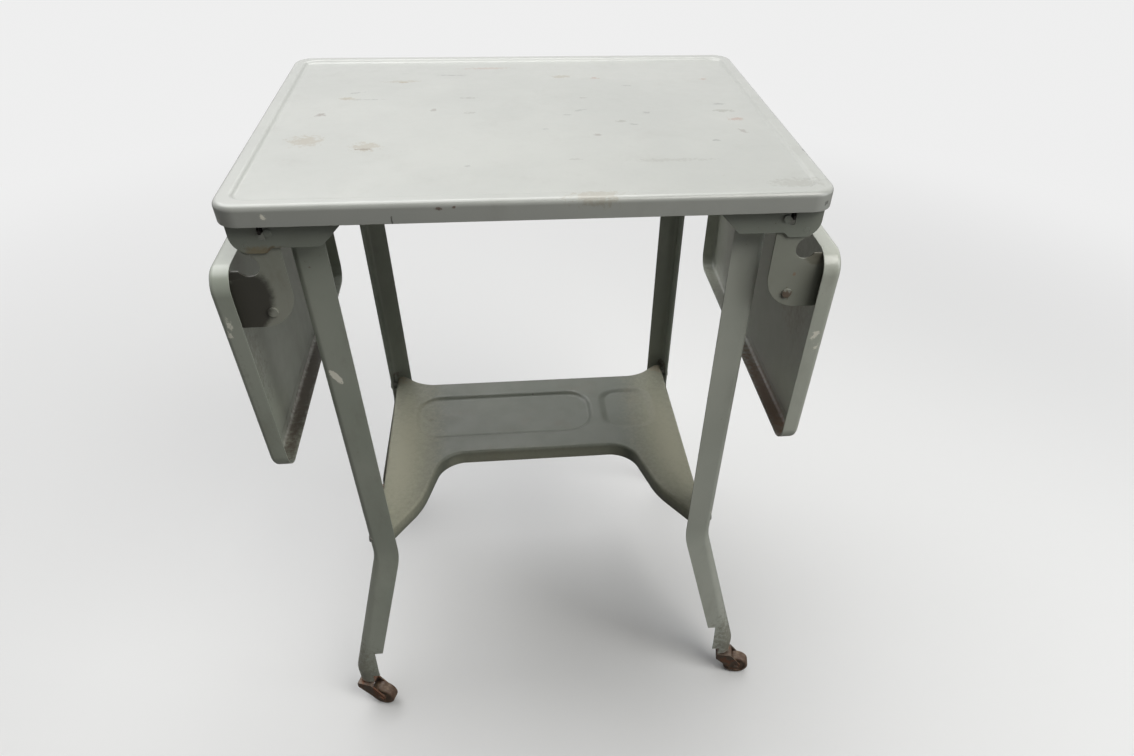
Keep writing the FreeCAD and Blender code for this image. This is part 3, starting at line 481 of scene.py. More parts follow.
@dataclass(frozen=True)
class WornEnamel:
    """Semi-gloss grey-green enamel over steel, with faded patches, grime, chipped edges and marks.

    Each bump is a height in metres and a strength.
    """

    name: str
    colour: Colour = (0.318, 0.345, 0.288)
    faded: Colour = (0.362, 0.383, 0.326)
    grime_colour: Colour = (0.150, 0.132, 0.096)
    grime: float = 0.30
    chips: float = 0.35
    gloss: float = 0.30
    coat: float = 1.0
    speckled: float = 0.5
    gloss_spread: float = 0.13
    coat_roughness: float = 0.27
    bare_roughness: float = 0.75
    raggedness: float = 4.5
    patch_grain: Grain = Grain(7.0, 5.0, 0.6, (0.35, 0.65))
    smear_grain: Grain = Grain(26.0, 8.0, 0.7, (0.50, 0.80), (1.0, 1.0, 0.45))
    speck_grain: Grain = Grain(240.0, 4.0, 0.65, (0.66, 0.74))
    swarm_grain: Grain = Grain(31.0, 3.0, 0.6, (0.50, 0.64))
    gloss_grain: Grain = Grain(60.0, 4.0, 0.6, (0.3, 0.7))
    torn_grain: Grain = Grain(210.0, 8.0, 0.72)
    chip_grain: Grain = Grain(70.0, 6.0, 0.7, (0.50, 0.58))
    under_grain: Grain = Grain(180.0, 3.0, span=(0.42, 0.58))
    peel_grain: Grain = Grain(420.0, 2.0)
    wave_grain: Grain = Grain(9.0, 2.0)
    peel_bump: Pair = (0.00005, 0.5)
    wave_bump: Pair = (0.0012, 0.25)
    chip_bump: Pair = (0.0002, 0.6)
    marks: tuple[Mark, ...] = ()

    def material(self) -> bpy.types.Material:
        """Build the material.

        Returns:
            The material.
        """
        nodes = NodeSheet(self.name)
        patches = self.patch_grain.mask(nodes)
        colour = nodes.mix(patches, self.colour, self.faded)
        smears = self.smear_grain.mask(nodes, high=self.grime)
        colour = nodes.mix(smears, colour, self.grime_colour)
        speckle = nodes.math("MULTIPLY", self.speck_grain.mask(nodes), self.swarm_grain.mask(nodes))
        colour = nodes.mix(nodes.math("MULTIPLY", speckle, self.speckled), colour, Tone.BROWN_RUST.colour)
        gloss = self.gloss_grain.mask(nodes, self.gloss, self.gloss + self.gloss_spread)
        torn = nodes.math("SUBTRACT", self.torn_grain.noise(nodes), 0.5)
        ragged = nodes.math("MULTIPLY", torn, self.raggedness)
        for tone in Tone:
            masks = [mark.mask(nodes, ragged) for mark in self.marks if mark.tone is tone]
            if masks:
                mask = reduce(lambda first, second: nodes.math("MAXIMUM", first, second), masks)
                colour = nodes.mix(mask, colour, tone.colour)
                gloss = nodes.level(mask, gloss, tone.roughness)
        edge = nodes.node("Attribute", {"attribute_name": EDGE_WEAR}).outputs["Fac"]
        flaked = nodes.math("ADD", self.chip_grain.noise(nodes), self.chips - 0.5)
        bitten = nodes.math("MULTIPLY", edge, flaked)
        bare = nodes.ramp(bitten, *self.chip_grain.span)
        under = nodes.mix(self.under_grain.mask(nodes), Tone.BROWN_RUST.colour, Tone.PALE_CHIP.colour)
        colour = nodes.mix(bare, colour, under)
        gloss = nodes.level(bare, gloss, self.bare_roughness)
        peel = nodes.bump(self.peel_grain.noise(nodes), *self.peel_bump)
        waves = nodes.bump(self.wave_grain.noise(nodes), *self.wave_bump, peel)
        normal = nodes.bump(nodes.math("SUBTRACT", 1.0, bare), *self.chip_bump, waves)
        shader = nodes.shader(colour, gloss, 0.0, normal)
        shader.inputs["Coat Weight"].default_value = self.coat
        shader.inputs["Coat Roughness"].default_value = self.coat_roughness
        return nodes.material


@dataclass(frozen=True)
class RustedSteel:
    """Steel that has gone brown, with patches of rust and traces of what covered it."""

    name: str
    steel: Colour
    rust: Colour
    cover: Colour
    rusted: float = 0.5
    covered: float = 0.0
    metallic: float = 0.55
    roughness: float = 0.5
    pits: Colour = (0.03, 0.025, 0.02)
    pit_share: float = 0.35
    rust_shift: float = 0.4
    cover_shift: float = 0.6
    rust_roughness: float = 0.3
    patch_grain: Grain = Grain(85.0, 7.0, 0.68, (0.72, 0.86))
    cover_grain: Grain = Grain(38.0, 5.0, 0.6, (0.78, 0.84))
    pit_grain: Grain = Grain(520.0, 5.0, 0.7, (0.35, 0.75))
    patch_bump: Pair = (0.0003, 0.6)
    pit_bump: Pair = (0.00012, 0.7)

    def material(self) -> bpy.types.Material:
        """Build the material.

        Returns:
            The material.
        """
        nodes = NodeSheet(self.name)
        rust = self.patch_grain.mask(nodes, shift=self.rust_shift * self.rusted)
        colour = nodes.mix(rust, self.steel, self.rust)
        paint = self.cover_grain.mask(nodes, shift=self.cover_shift * self.covered)
        colour = nodes.mix(paint, colour, self.cover)
        colour = nodes.mix(self.pit_grain.mask(nodes, high=self.pit_share), colour, self.pits)
        metal = nodes.math("MULTIPLY", nodes.math("SUBTRACT", 1.0, nodes.math("MAXIMUM", rust, paint)),
                           self.metallic)
        rough = nodes.math("ADD", nodes.math("MULTIPLY", rust, self.rust_roughness), self.roughness)
        pitted = nodes.bump(self.pit_grain.noise(nodes), *self.pit_bump)
        normal = nodes.bump(self.patch_grain.noise(nodes), *self.patch_bump, pitted)
        nodes.shader(colour, rough, metal, normal)
        return nodes.material


@dataclass(frozen=True)
class WornWheel:
    """Brown moulded wheel: dusty, scuffed round the tread."""

    name: str
    colour: Colour = (0.115, 0.070, 0.046)
    dust: Colour = (0.30, 0.225, 0.16)
    most_dust: float = 0.8
    roughness: Pair = (0.42, 0.85)
    dust_grain: Grain = Grain(120.0, 6.0, 0.7, (0.42, 0.72))
    fine_grain: Grain = Grain(700.0, 3.0)
    fine_bump: Pair = (0.0001, 0.6)

    def material(self) -> bpy.types.Material:
        """Build the material.

        Returns:
            The material.
        """
        nodes = NodeSheet(self.name)
        dusty = self.dust_grain.mask(nodes, high=self.most_dust)
        colour = nodes.mix(dusty, self.colour, self.dust)
        rough = nodes.ramp(dusty, 0.0, 1.0, *self.roughness)
        nodes.shader(colour, rough, 0.0, nodes.bump(self.fine_grain.noise(nodes), *self.fine_bump))
        return nodes.material


# ---------------------------------------------------------------- marks and finishes in use
TOP_FACE = 671.5
TOP_REACH = 14.0
TOP_WIDENING = 1.35


def on_top(tone: Tone, *rows: tuple[float, ...]) -> tuple[Mark, ...]:
    """Lay marks of one tone on the upper face of the top.

    Args:
        tone: their tone.
        rows: x, y, length, width and strength of each, and its turn where it has one.

    Returns:
        The marks.
    """
    return tuple(Mark(tone, (x, y, TOP_FACE), (long, TOP_WIDENING * wide, TOP_REACH), strength,
                      (0.0, 0.0, *(turn or (0.0,))))
                 for x, y, long, wide, strength, *turn in rows)


TOP_MARKS = (
    *on_top(Tone.TAN_STAIN, (-119, 105, 36, 5, 0.30), (-118, 103, 12, 4, 0.60), (-165, 54, 17, 6, 0.50),
            (-187, -54, 27, 18, 0.42), (-136, -70, 23, 15, 0.40), (43, 116, 20, 6, 0.40),
            (46, -180, 40, 14, 0.30)),
    *on_top(Tone.DARK_SCRATCH, (-150, 51, 40, 1.8, 0.35), (-160, 71, 14, 3, 0.40, 20),
            (-71, 124, 30, 2, 0.40, -5), (-51, -115, 5, 4, 0.35), (106, 84, 10, 3, 0.30),
            (53, 13, 12, 3, 0.30, 25), (114, 4, 8, 4, 0.35), (97, -26, 10, 3, 0.35, -20),
            (40, 1, 8, 2.5, 0.30), (17, -35, 12, 2.5, 0.30), (188, 25, 12, 3, 0.40),
            (165, -69, 9, 3, 0.40), (233, -102, 4, 7, 0.60), (-233, -89, 4, 6, 0.60)),
    *on_top(Tone.BROWN_RUST, (-184, 10, 9, 6, 0.50), (-136, -75, 18, 2.5, 0.45), (-83, 19, 6, 6, 0.38),
            (59, 48, 7, 3, 0.35), (62, -51, 8, 4, 0.40), (193, -47, 5, 10, 0.35, 30)),
    *on_top(Tone.RED_RUST, (-33, 147, 46, 5, 0.32), (77, 110, 9, 4, 0.45), (195, -17, 15, 7, 0.45),
            (190, 103, 9, 4, 0.40)),
    *on_top(Tone.GREY_GRIME, (-50, 10, 9, 5, 0.35), (-52, 52, 16, 4, 0.35), (88, -18, 14, 4, 0.40),
            (188, 6, 18, 5, 0.45), (116, -111, 70, 5, 0.22), (36, -105, 14, 3, 0.25),
            (208, -163, 46, 14, 0.25, -8)),
    Mark(Tone.PALE_CHIP, (-197, -186, 665), (3.4, 4, 5), 0.95),
    Mark(Tone.DARK_SCRATCH, (-106, -186, 660), (1.6, 4, 6), 0.80),
    Mark(Tone.BROWN_RUST, (-71, -186, 668), (5, 5, 2.6), 0.80),
    Mark(Tone.BROWN_RUST, (-60, -186, 669), (3, 5, 2.6), 0.80),
    Mark(Tone.DARK_SCRATCH, (226, -182, 663), (5, 6, 4), 0.70),
    Mark(Tone.PALE_CHIP, (-233, -181, 661), (5, 6, 9), 0.85),
)
LEG_MARKS = (
    Mark(Tone.PALE_CHIP, (-183, -157, 501), (7.5, 8, 20), 1.0, (0, -32, 0), 0.1, 0.3),
    Mark(Tone.PALE_CHIP, (-193, -156, 283), (6, 8, 9), 0.95),
    Mark(Tone.OLD_GREASE, (-191, -157, 279), (2.6, 5, 2.6), 0.9, torn=0.3),
    Mark(Tone.PALE_CHIP, (195, -157, 283), (6, 8, 15), 0.95, (0, -30, 0)),
    Mark(Tone.BROWN_RUST, (-188, 148, 277), (14, 20, 12), 0.55),
    Mark(Tone.BROWN_RUST, (188, 148, 277), (14, 20, 16), 0.65),
    *(Mark(Tone.GREY_GRIME, (x, y, 66), (46, 44, 100), strength, soft=0.7)
      for x, y, strength in ((-238, -184, 0.62), (238, -184, 0.70), (-238, 184, 0.62), (238, 184, 0.62))),
    Mark(Tone.TAN_STAIN, (-207, -176, 633), (32, 8, 9), 0.55, soft=0.6, torn=0.6),
    Mark(Tone.BROWN_RUST, (-198, -176, 634), (16, 8, 6), 0.5),
)
LEAF_MARKS = (
    Mark(Tone.RED_RUST, (245, -110, 415.5), (22, 230, 12), 0.75, soft=0.6, torn=0.4),
    Mark(Tone.BROWN_RUST, (245, 60, 415.5), (18, 240, 10), 0.35, soft=0.6, torn=0.5),
    Mark(Tone.RED_RUST, (247.5, -105, 535), (8, 130, 90), 0.28, (25, 0, 0), 0.35, 0.3),
    # Painted shade: these two dark marks darken the left leaf's lower skirt where the table's shadow falls on it.
    Mark(Tone.BROWN_RUST, (-245, -40, 415.5), (20, 330, 10), 0.85, soft=0.6, torn=0.35),
    Mark(Tone.OLD_GREASE, (-244, -40, 415.5), (16, 330, 9), 0.60, soft=0.6, torn=0.35),
    Mark(Tone.PALE_CHIP, (244, -185, 543), (5, 4, 10), 0.90, torn=1.6),
    Mark(Tone.PALE_CHIP, (248.5, -185, 529), (3.6, 4, 6), 0.80, torn=1.6),
    Mark(Tone.PALE_CHIP, (-247, -185, 576), (4, 4, 9), 0.75, torn=1.7),
    Mark(Tone.PALE_CHIP, (-249, -185, 566), (3.6, 4, 7), 0.70, torn=1.7),
    Mark(Tone.GREY_GRIME, (247.5, -120, 560), (8, 110, 120), 0.38, soft=0.35, torn=0.3),
    Mark(Tone.GREY_GRIME, (-247.5, -150, 520), (8, 70, 130), 0.45, soft=0.3, torn=0.5),
)
SHELF_MARKS = (
    Mark(Tone.OLD_GREASE, (-136, 53, 276), (7, 6, 12), 0.80),
    Mark(Tone.BROWN_RUST, (-180, 146, 278), (26, 30, 16), 0.75, soft=0.5),
    Mark(Tone.BROWN_RUST, (180, 146, 278), (26, 34, 16), 0.85, soft=0.5),
    *(Mark(Tone.DUST, (x, -20, 278), (78, 340, 30), 0.85, soft=0.8, torn=0.22) for x in (-168, 168)),
    Mark(Tone.DARK_SCRATCH, (0, 96, 277), (3, 3, 10), 0.7),
    Mark(Tone.DUST, (0, -20, 266), (330, 14, 22), 0.42, soft=0.8, torn=0.2),
)
ARM_MARKS = (
    # Painted shadow: a near-black patch with a straight diagonal edge over the left front arm's lower part,
    # standing for a cast shadow.
    Mark(Tone.OLD_GREASE, (-236, -174, 583), (48, 24, 84), 0.88, (0, 33, 0), 0.12, 0.06),
    # Painted shade: darkens the right front arm's outer strip in the crease where it meets the leaf.
    Mark(Tone.OLD_GREASE, (248, -172, 592), (16, 26, 74), 0.50, soft=0.5, torn=0.3),
    Mark(Tone.GREY_GRIME, (234, -174, 618), (30, 16, 28), 0.70, soft=0.1, torn=0.1),
    Mark(Tone.OLD_GREASE, (-238, -174, 613), (40, 14, 12), 0.90, soft=0.4, torn=0.2),
    Mark(Tone.OLD_GREASE, (243, -174, 614), (34, 14, 8), 0.75, soft=0.4, torn=0.2),
    Mark(Tone.BROWN_RUST, (213.5, -176, 579), (10, 14, 9), 0.80, (0, 30, 0)),
    Mark(Tone.RED_RUST, (217, -174, 598), (2, 10, 3), 0.50),
)

Finish = WornEnamel | RustedSteel | WornWheel
# The top's base colours are lighter and greyer than the frame's enamel; the extra lightness is painted light on
# the top's brightly lit upper face.
TOP_ENAMEL = WornEnamel("top_enamel", (0.382, 0.393, 0.363), (0.420, 0.430, 0.397), grime=0.16,
                        speckled=0.25, marks=TOP_MARKS)
# The shelf's base colours are far darker than the frame's same enamel: painted shade from the top above it. The
# grime smears on it are real dirt.
SHELF_ENAMEL = WornEnamel("shelf_enamel", (0.140, 0.153, 0.122), (0.164, 0.176, 0.142), grime=0.45,
                          gloss=0.42, coat=0.22, marks=SHELF_MARKS)
ARM_ENAMEL = WornEnamel("arm_enamel", (0.27, 0.28, 0.235), (0.32, 0.325, 0.275), grime=0.5, chips=-0.2,
                        gloss=0.45, coat=0.1, marks=ARM_MARKS)
LEAF_ENAMEL = WornEnamel("leaf_enamel", marks=LEAF_MARKS)
# Painted light: a lighter copy of the leaf enamel for the right leaf, standing for the stronger light on the
# table's right side.
PAINTED_LIGHT_LEAF_ENAMEL = WornEnamel("faded_enamel", (0.460, 0.482, 0.414), (0.500, 0.518, 0.450), marks=LEAF_MARKS)
FRAME_ENAMEL = WornEnamel("frame_enamel", marks=LEG_MARKS)
# Painted light: a lighter copy of the frame enamel for the front right leg, standing for the stronger light on the
# table's right side.
PAINTED_LIGHT_LEG_ENAMEL = WornEnamel("faded_leg_enamel", (0.430, 0.453, 0.394), (0.470, 0.488, 0.428),
                              marks=LEG_MARKS)
# Painted shade: a darker, grimier copy of the frame enamel for the gussets, catch rivets and hinge pins, standing
# for the shade under the top's rim.
PAINTED_SHADE_ENAMEL = WornEnamel("shaded_enamel", (0.235, 0.254, 0.215), (0.266, 0.281, 0.240), grime=0.45,
                           marks=LEG_MARKS)
# The catches are rusty steel darkened to near black: painted shade for the gussets' slots that they sit in.
CATCH_STEEL = RustedSteel("catch_steel", (0.025, 0.022, 0.02), (0.04, 0.026, 0.02), (0.05, 0.05, 0.045),
                          rusted=0.5, covered=0.2, metallic=0.2)
FASTENER_STEEL = RustedSteel("fastener_steel", (0.30, 0.29, 0.27), (0.11, 0.07, 0.05), (0.24, 0.25, 0.22),
                             rusted=0.4, covered=0.5)
CASTER_STEEL = RustedSteel("caster_steel", (0.17, 0.13, 0.10), (0.19, 0.085, 0.045), (0.2, 0.21, 0.19),
                           rusted=0.62, covered=0.1)
BROWN_WHEEL = WornWheel("brown_wheel")


# ---------------------------------------------------------------- mesh helpers
# Lengths are in metres and angles in degrees.
DOUBLES = 1e-6
FINE_CORNER = 6.0 * MM
FINE_SEGMENTS = 4
EDGE_ROUNDING = 0.35 * MM
LIP_ROUNDING = 0.4 * MM
SHARP_ANGLE = 60.0
LEAST_BEND = 1.15
WORN_BEND = 38.0


def rounded_face(shape: bmesh.types.BMesh, corners: Sequence[Triple],
                 level: float, segments: int = 8) -> bmesh.types.BMFace:
    """Make one flat face through corners, each rounded by its own radius.

    Args:
        shape: the mesh it is added to.
        corners: x, y and radius of each corner, in order; a radius of 0 leaves it sharp.
        level: the face's height.
        segments: steps round each corner; small corners have FINE_SEGMENTS.

    Returns:
        The face, which looks up.
    """
    points = [shape.verts.new((x, y, level)) for x, y, _ in corners]
    face = shape.faces.new(points)
    face.normal_update()
    if face.normal.z < 0:
        face.normal_flip()
    count = len(points)
    flat = [Vector(corner[:2]) for corner in corners]
    for i, (point, corner) in enumerate(zip(points, corners)):
        if corner[2] <= 0:
            continue
        back, ahead = flat[i - 1] - flat[i], flat[(i + 1) % count] - flat[i]
        reach = corner[2] / math.tan(back.angle(ahead) / 2)
        steps = segments if corner[2] > FINE_CORNER else FINE_SEGMENTS
        bmesh.ops.bevel(shape, geom=[point], affect="VERTICES", offset=reach, offset_type="OFFSET",
                        segments=steps, profile=0.5, material=-1, clamp_overlap=False)
    return max(shape.faces, key=lambda one: one.calc_area() if one.normal.z > 0.9 else 0.0)


def box_corners(low: Pair, high: Pair, radius: float) -> list[Triple]:
    """List the four corners of a rounded box, for rounded_face."""
    return [(low[0], low[1], radius), (high[0], low[1], radius),
            (high[0], high[1], radius), (low[0], high[1], radius)]


def loop_at(shape: bmesh.types.BMesh, level: float) -> list[bmesh.types.BMEdge]:
    """Find the edges that lie at one height and part two faces of different slope."""
    return [edge for edge in sharp_edges(shape, LEAST_BEND)
            if all(abs(vert.co.z - level) < DOUBLES for vert in edge.verts)]


def fold_down(shape: bmesh.types.BMesh, face: bmesh.types.BMFace, drop: float) -> None:
    """Fold a skirt straight down from a face's outline.

    Args:
        shape: the mesh.
        face: its only face.
        drop: the skirt's height.
    """
    made = bmesh.ops.extrude_edge_only(shape, edges=list(face.edges))
    lowered = [item for item in made["geom"] if isinstance(item, bmesh.types.BMVert)]
    bmesh.ops.translate(shape, verts=lowered, vec=(0.0, 0.0, -drop))
    bmesh.ops.recalc_face_normals(shape, faces=shape.faces)
    face.normal_update()
    if face.normal.z < 0:
        bmesh.ops.reverse_faces(shape, faces=shape.faces)


def pressed_field(low: Pair, high: Pair, radius: float, level: float,
                  depth: float, slope: float, support: float) -> bmesh.types.BMesh:
    """Press a rounded box down from a level, with a narrow flat margin round it.

    Args:
        low: lower corner of its rim in x and y.
        high: upper corner of its rim.
        radius: the rim's corner radius.
        level: the rim's height.
        depth: how deep it is pressed.
        slope: width of its sloping wall.
        support: rounding of the wall's two bends.

    Returns:
        The patch, open at the margin's outer edge.
    """
    part = bmesh.new()
    margin = support * 1.2
    corners = box_corners((low[0] - margin, low[1] - margin), (high[0] + margin, high[1] + margin),
                          radius + margin)
    face = rounded_face(part, corners, level, 12)
    inset(part, face, margin)
    inset(part, face, slope, -depth)
    soften(part, loop_at(part, level), support, 4)
    soften(part, loop_at(part, level - depth), support, 4)
    return part


def add_part(shape: bmesh.types.BMesh, part: bmesh.types.BMesh) -> list[bmesh.types.BMEdge]:
    """Add a part to a shape.

    Args:
        shape: the mesh that grows.
        part: the mesh that is added and freed.

    Returns:
        The part's open edges in the shape.
    """
    known = set(shape.edges)
    mesh = bpy.data.meshes.new("part")
    part.to_mesh(mesh)
    part.free()
    shape.from_mesh(mesh)
    bpy.data.meshes.remove(mesh)
    return [edge for edge in shape.edges if edge not in known and len(edge.link_faces) == 1]


def fill_flat(shape: bmesh.types.BMesh, rim: list[bmesh.types.BMEdge]) -> None:
    """Fill the flat ground between loops at one height, in as few faces as it takes.

    Args:
        shape: the mesh.
        rim: the loops' edges.
    """
    made = bmesh.ops.triangle_fill(shape, edges=rim, use_beauty=True, normal=(0.0, 0.0, 1.0))["geom"]
    ground = [item for item in made if isinstance(item, bmesh.types.BMFace)]
    inner = {edge for face in ground for edge in face.edges} - set(rim)
    bmesh.ops.dissolve_limit(shape, angle_limit=math.radians(0.5), use_dissolve_boundaries=False,
                             verts=[], edges=list(inner))
    bmesh.ops.recalc_face_normals(shape, faces=shape.faces)
    if max(shape.faces, key=lambda one: one.calc_area()).normal.z < 0:
        bmesh.ops.reverse_faces(shape, faces=shape.faces)


def press_fields(shape: bmesh.types.BMesh, fields: Iterable[bmesh.types.BMesh]) -> None:
    """Put pressed fields into a skin's flat middle.

    Args:
        shape: the skin.
        fields: the pressed fields, which are freed.
    """
    plate = max(shape.faces, key=lambda one: one.calc_area())
    rim = list(plate.edges)
    bmesh.ops.delete(shape, geom=[plate], context="FACES_ONLY")
    for part in fields:
        rim += add_part(shape, part)
    fill_flat(shape, rim)


def give_thickness(shape: bmesh.types.BMesh, wall: float) -> None:
    """Turn a skin into sheet, on the side away from its normals."""
    shape.normal_update()
    bmesh.ops.solidify(shape, geom=shape.faces, thickness=wall)


def give_lip(shape: bmesh.types.BMesh, wall: float, end: float) -> None:
    """Turn a skin with a skirt into sheet, and smooth the lip at the skirt's lower end.

    Args:
        shape: the skin.
        wall: the sheet's thickness.
        end: the height of the skirt's lower end.
    """
    give_thickness(shape, wall)
    lip = [edge for edge in sharp_edges(shape, SHARP_ANGLE)
           if all(vert.co.z < end + 10 * DOUBLES for vert in edge.verts)]
    soften(shape, lip, LIP_ROUNDING, 2)


def inset(shape: bmesh.types.BMesh, face: bmesh.types.BMFace, reach: float, depth: float = 0.0) -> None:
    """Inset one face, which stays the inner one."""
    bmesh.ops.inset_region(shape, faces=[face], thickness=reach, depth=depth, use_even_offset=True,
                           use_boundary=True)


def soften(shape: bmesh.types.BMesh, edges: Iterable[bmesh.types.BMEdge], reach: float,
           segments: int = 3) -> None:
    """Round edges over.

    Args:
        shape: the mesh.
        edges: the edges.
        reach: how far the round reaches to either side.
        segments: its steps.
    """
    bmesh.ops.bevel(shape, geom=list(edges), affect="EDGES", offset=reach, offset_type="OFFSET",
                    segments=segments, profile=0.5, material=-1, clamp_overlap=True)


def sharp_edges(shape: bmesh.types.BMesh, degrees: float) -> list[bmesh.types.BMEdge]:
    """Find the edges whose two faces meet at more than that angle."""
    limit = math.radians(degrees)
    return [edge for edge in shape.edges if len(edge.link_faces) == 2 and edge.calc_face_angle() > limit]


def write_edge_wear(shape: bmesh.types.BMesh) -> None:
    """Store how much each point sticks out, for the finish to wear there first.

    Args:
        shape: the mesh.
    """
    layer = shape.verts.layers.float.new(EDGE_WEAR)
    for vert in shape.verts:
        bend = 0.0
        for edge in vert.link_edges:
            if len(edge.link_faces) == 2:
                bend = max(bend, edge.calc_face_angle_signed(0.0))
        vert[layer] = min(1.0, bend / math.radians(WORN_BEND))


# ---------------------------------------------------------------- pressed panels
@dataclass(frozen=True)
class PressedPan:
    """A pressed panel: raised border, sunk field, rounded fold and a skirt with a smooth lip."""

    width: float
    depth: float
    corner: float = 19.0 * MM
    rim_drop: float = 16.0 * MM
    rim_fold: float = 4.5 * MM
    border: float = 12.0 * MM
    step: float = 2.0 * MM
    slope: float = 2.5 * MM
    sheet: float = 1.2 * MM
    support: float = 1.4 * MM

    def shape(self) -> bmesh.types.BMesh:
        """Build the panel flat, with its outer face at height 0.

        Returns:
            Its closed mesh.
        """
        shape = bmesh.new()
        half = (self.width / 2, self.depth / 2)
        face = rounded_face(shape, box_corners((-half[0], -half[1]), half, self.corner), 0.0, 14)
        fold_down(shape, face, self.rim_drop)
        soften(shape, loop_at(shape, 0.0), self.rim_fold, 7)
        low = (self.border - half[0], self.border - half[1])
        press_fields(shape, [pressed_field(low, (-low[0], -low[1]), self.corner - self.border / 2, 0.0,
                                           self.step, self.slope, self.support)])
        give_lip(shape, self.sheet, -self.rim_drop)
        return shape


# ---------------------------------------------------------------- legs
@dataclass(frozen=True)
class AngleLeg:
    """A bent angle of sheet steel: knee, slanting stretch, ankle, and a notched foot.

    It stands at place, turned by turn degrees, and its foot stands further out by out. Below the
    knee its fold opens out from corner to opened.
    """

    place: Pair
    out: Pair
    flanges: Pair
    turn: float
    top: float = 668.3 * MM
    foot: float = 45.0 * MM
    corner: float = 6.0 * MM
    opened: float = 13.0 * MM
    knee_share: float = 0.3
    sheet: float = 1.6 * MM
    knee: float = 262.0 * MM
    knee_radius: float = 70.0 * MM
    ankle: float = 63.0 * MM
    ankle_radius: float = 40.0 * MM
    notch: float = 98.0 * MM
    notched: float = 27.0 * MM
    step: float = 57.0 * MM
    tip: float = 18.0 * MM

    def bend(self) -> float:
        """Find the slanting stretch's angle from upright by halving.

        Returns:
            The angle in radians.
        """
        reach = math.hypot(*self.out)
        fall = self.knee - self.ankle
        rounds = self.knee_radius + self.ankle_radius
        low, high = 0.0, math.pi / 3
        for _ in range(50):
            angle = (low + high) / 2
            spread = rounds * (1 - math.cos(angle)) + (fall - rounds * math.sin(angle)) * math.tan(angle)
            low, high = (angle, high) if spread < reach else (low, angle)
        return (low + high) / 2

    def shape(self) -> bmesh.types.BMesh:
        """Build the leg in place.

        Returns:
            Its closed mesh.
        """
        shape = bmesh.new()
        edges = self.section(shape)
        heading = Vector((*self.out, 0.0)).normalized()
        hinge = Vector((0.0, 0.0, 1.0)).cross(heading)
        bend = self.bend()
        opening = self.opened - self.corner
        edges = self.draw(shape, edges, Vector((0.0, 0.0, self.knee - self.top)), 6, 0.0)
        centre = heading * self.knee_radius + Vector((0.0, 0.0, self.knee))
        edges = self.turn_round(shape, edges, centre, hinge, -bend, 8, opening * self.knee_share)
        rounds = self.knee_radius + self.ankle_radius
        fall = (self.knee - self.ankle - rounds * math.sin(bend)) / math.cos(bend)
        slant = heading * math.sin(bend) - Vector((0.0, 0.0, math.cos(bend)))
        edges = self.draw(shape, edges, slant * fall, 8, opening * (1 - self.knee_share))
        centre = heading * (math.hypot(*self.out) - self.ankle_radius) + Vector((0.0, 0.0, self.ankle))
        edges = self.turn_round(shape, edges, centre, hinge, bend, 6, 0.0)
        self.draw(shape, edges, Vector((0.0, 0.0, self.foot - self.ankle)), 1, 0.0)
        self.trim(shape)
        bmesh.ops.remove_doubles(shape, verts=shape.verts, dist=DOUBLES)
        bmesh.ops.recalc_face_normals(shape, faces=shape.faces)
        flat = next(one for one in shape.faces if abs(one.calc_center_median().y) < 1e-5)
        if flat.normal.y < 0:
            bmesh.ops.reverse_faces(shape, faces=shape.faces)
        give_thickness(shape, self.sheet)
        soften(shape, sharp_edges(shape, SHARP_ANGLE), EDGE_ROUNDING, 2)
        bmesh.ops.rotate(shape, verts=shape.verts, cent=(0.0, 0.0, 0.0),
                         matrix=Matrix.Rotation(math.radians(self.turn), 3, "Z"))
        bmesh.ops.translate(shape, verts=shape.verts, vec=(*self.place, 0.0))
        return shape

    def section(self, shape: bmesh.types.BMesh) -> list[bmesh.types.BMEdge]:
        """Draw the angle's outer line at its upper end, with its rounded corner.

        Args:
            shape: the mesh.

        Returns:
            The line's edges.
        """
        first = shape.verts.new((-self.flanges[0], 0.0, self.top))
        second = shape.verts.new((-self.corner, 0.0, self.top))
        shape.edges.new((first, second))
        made = bmesh.ops.spin(shape, geom=[second], cent=(-self.corner, -self.corner, self.top),
                              axis=(0.0, 0.0, 1.0), angle=-math.pi / 2, steps=8)
        last = next(item for item in made["geom_last"] if isinstance(item, bmesh.types.BMVert))
        end = shape.verts.new((0.0, -self.flanges[1], self.top))
        shape.edges.new((last, end))
        return list(shape.edges)

    def draw(self, shape: bmesh.types.BMesh, edges: list[bmesh.types.BMEdge], way: Vector, steps: int,
             opening: float) -> list[bmesh.types.BMEdge]:
        """Draw the section straight on in steps.

        Args:
            shape: the mesh.
            edges: the section's edges to go on from.
            way: how far and where.
            steps: number of steps.
            opening: how much the fold's radius grows on the way.

        Returns:
            The last section's edges.
        """
        for _ in range(steps):
            made = bmesh.ops.extrude_edge_only(shape, edges=edges)["geom"]
            moved = {item for item in made if isinstance(item, bmesh.types.BMVert)}
            bmesh.ops.translate(shape, verts=list(moved), vec=way / steps)
            edges = [item for item in made
                     if isinstance(item, bmesh.types.BMEdge) and set(item.verts) <= moved]
            self.open_fold(edges, opening / steps)
        return edges

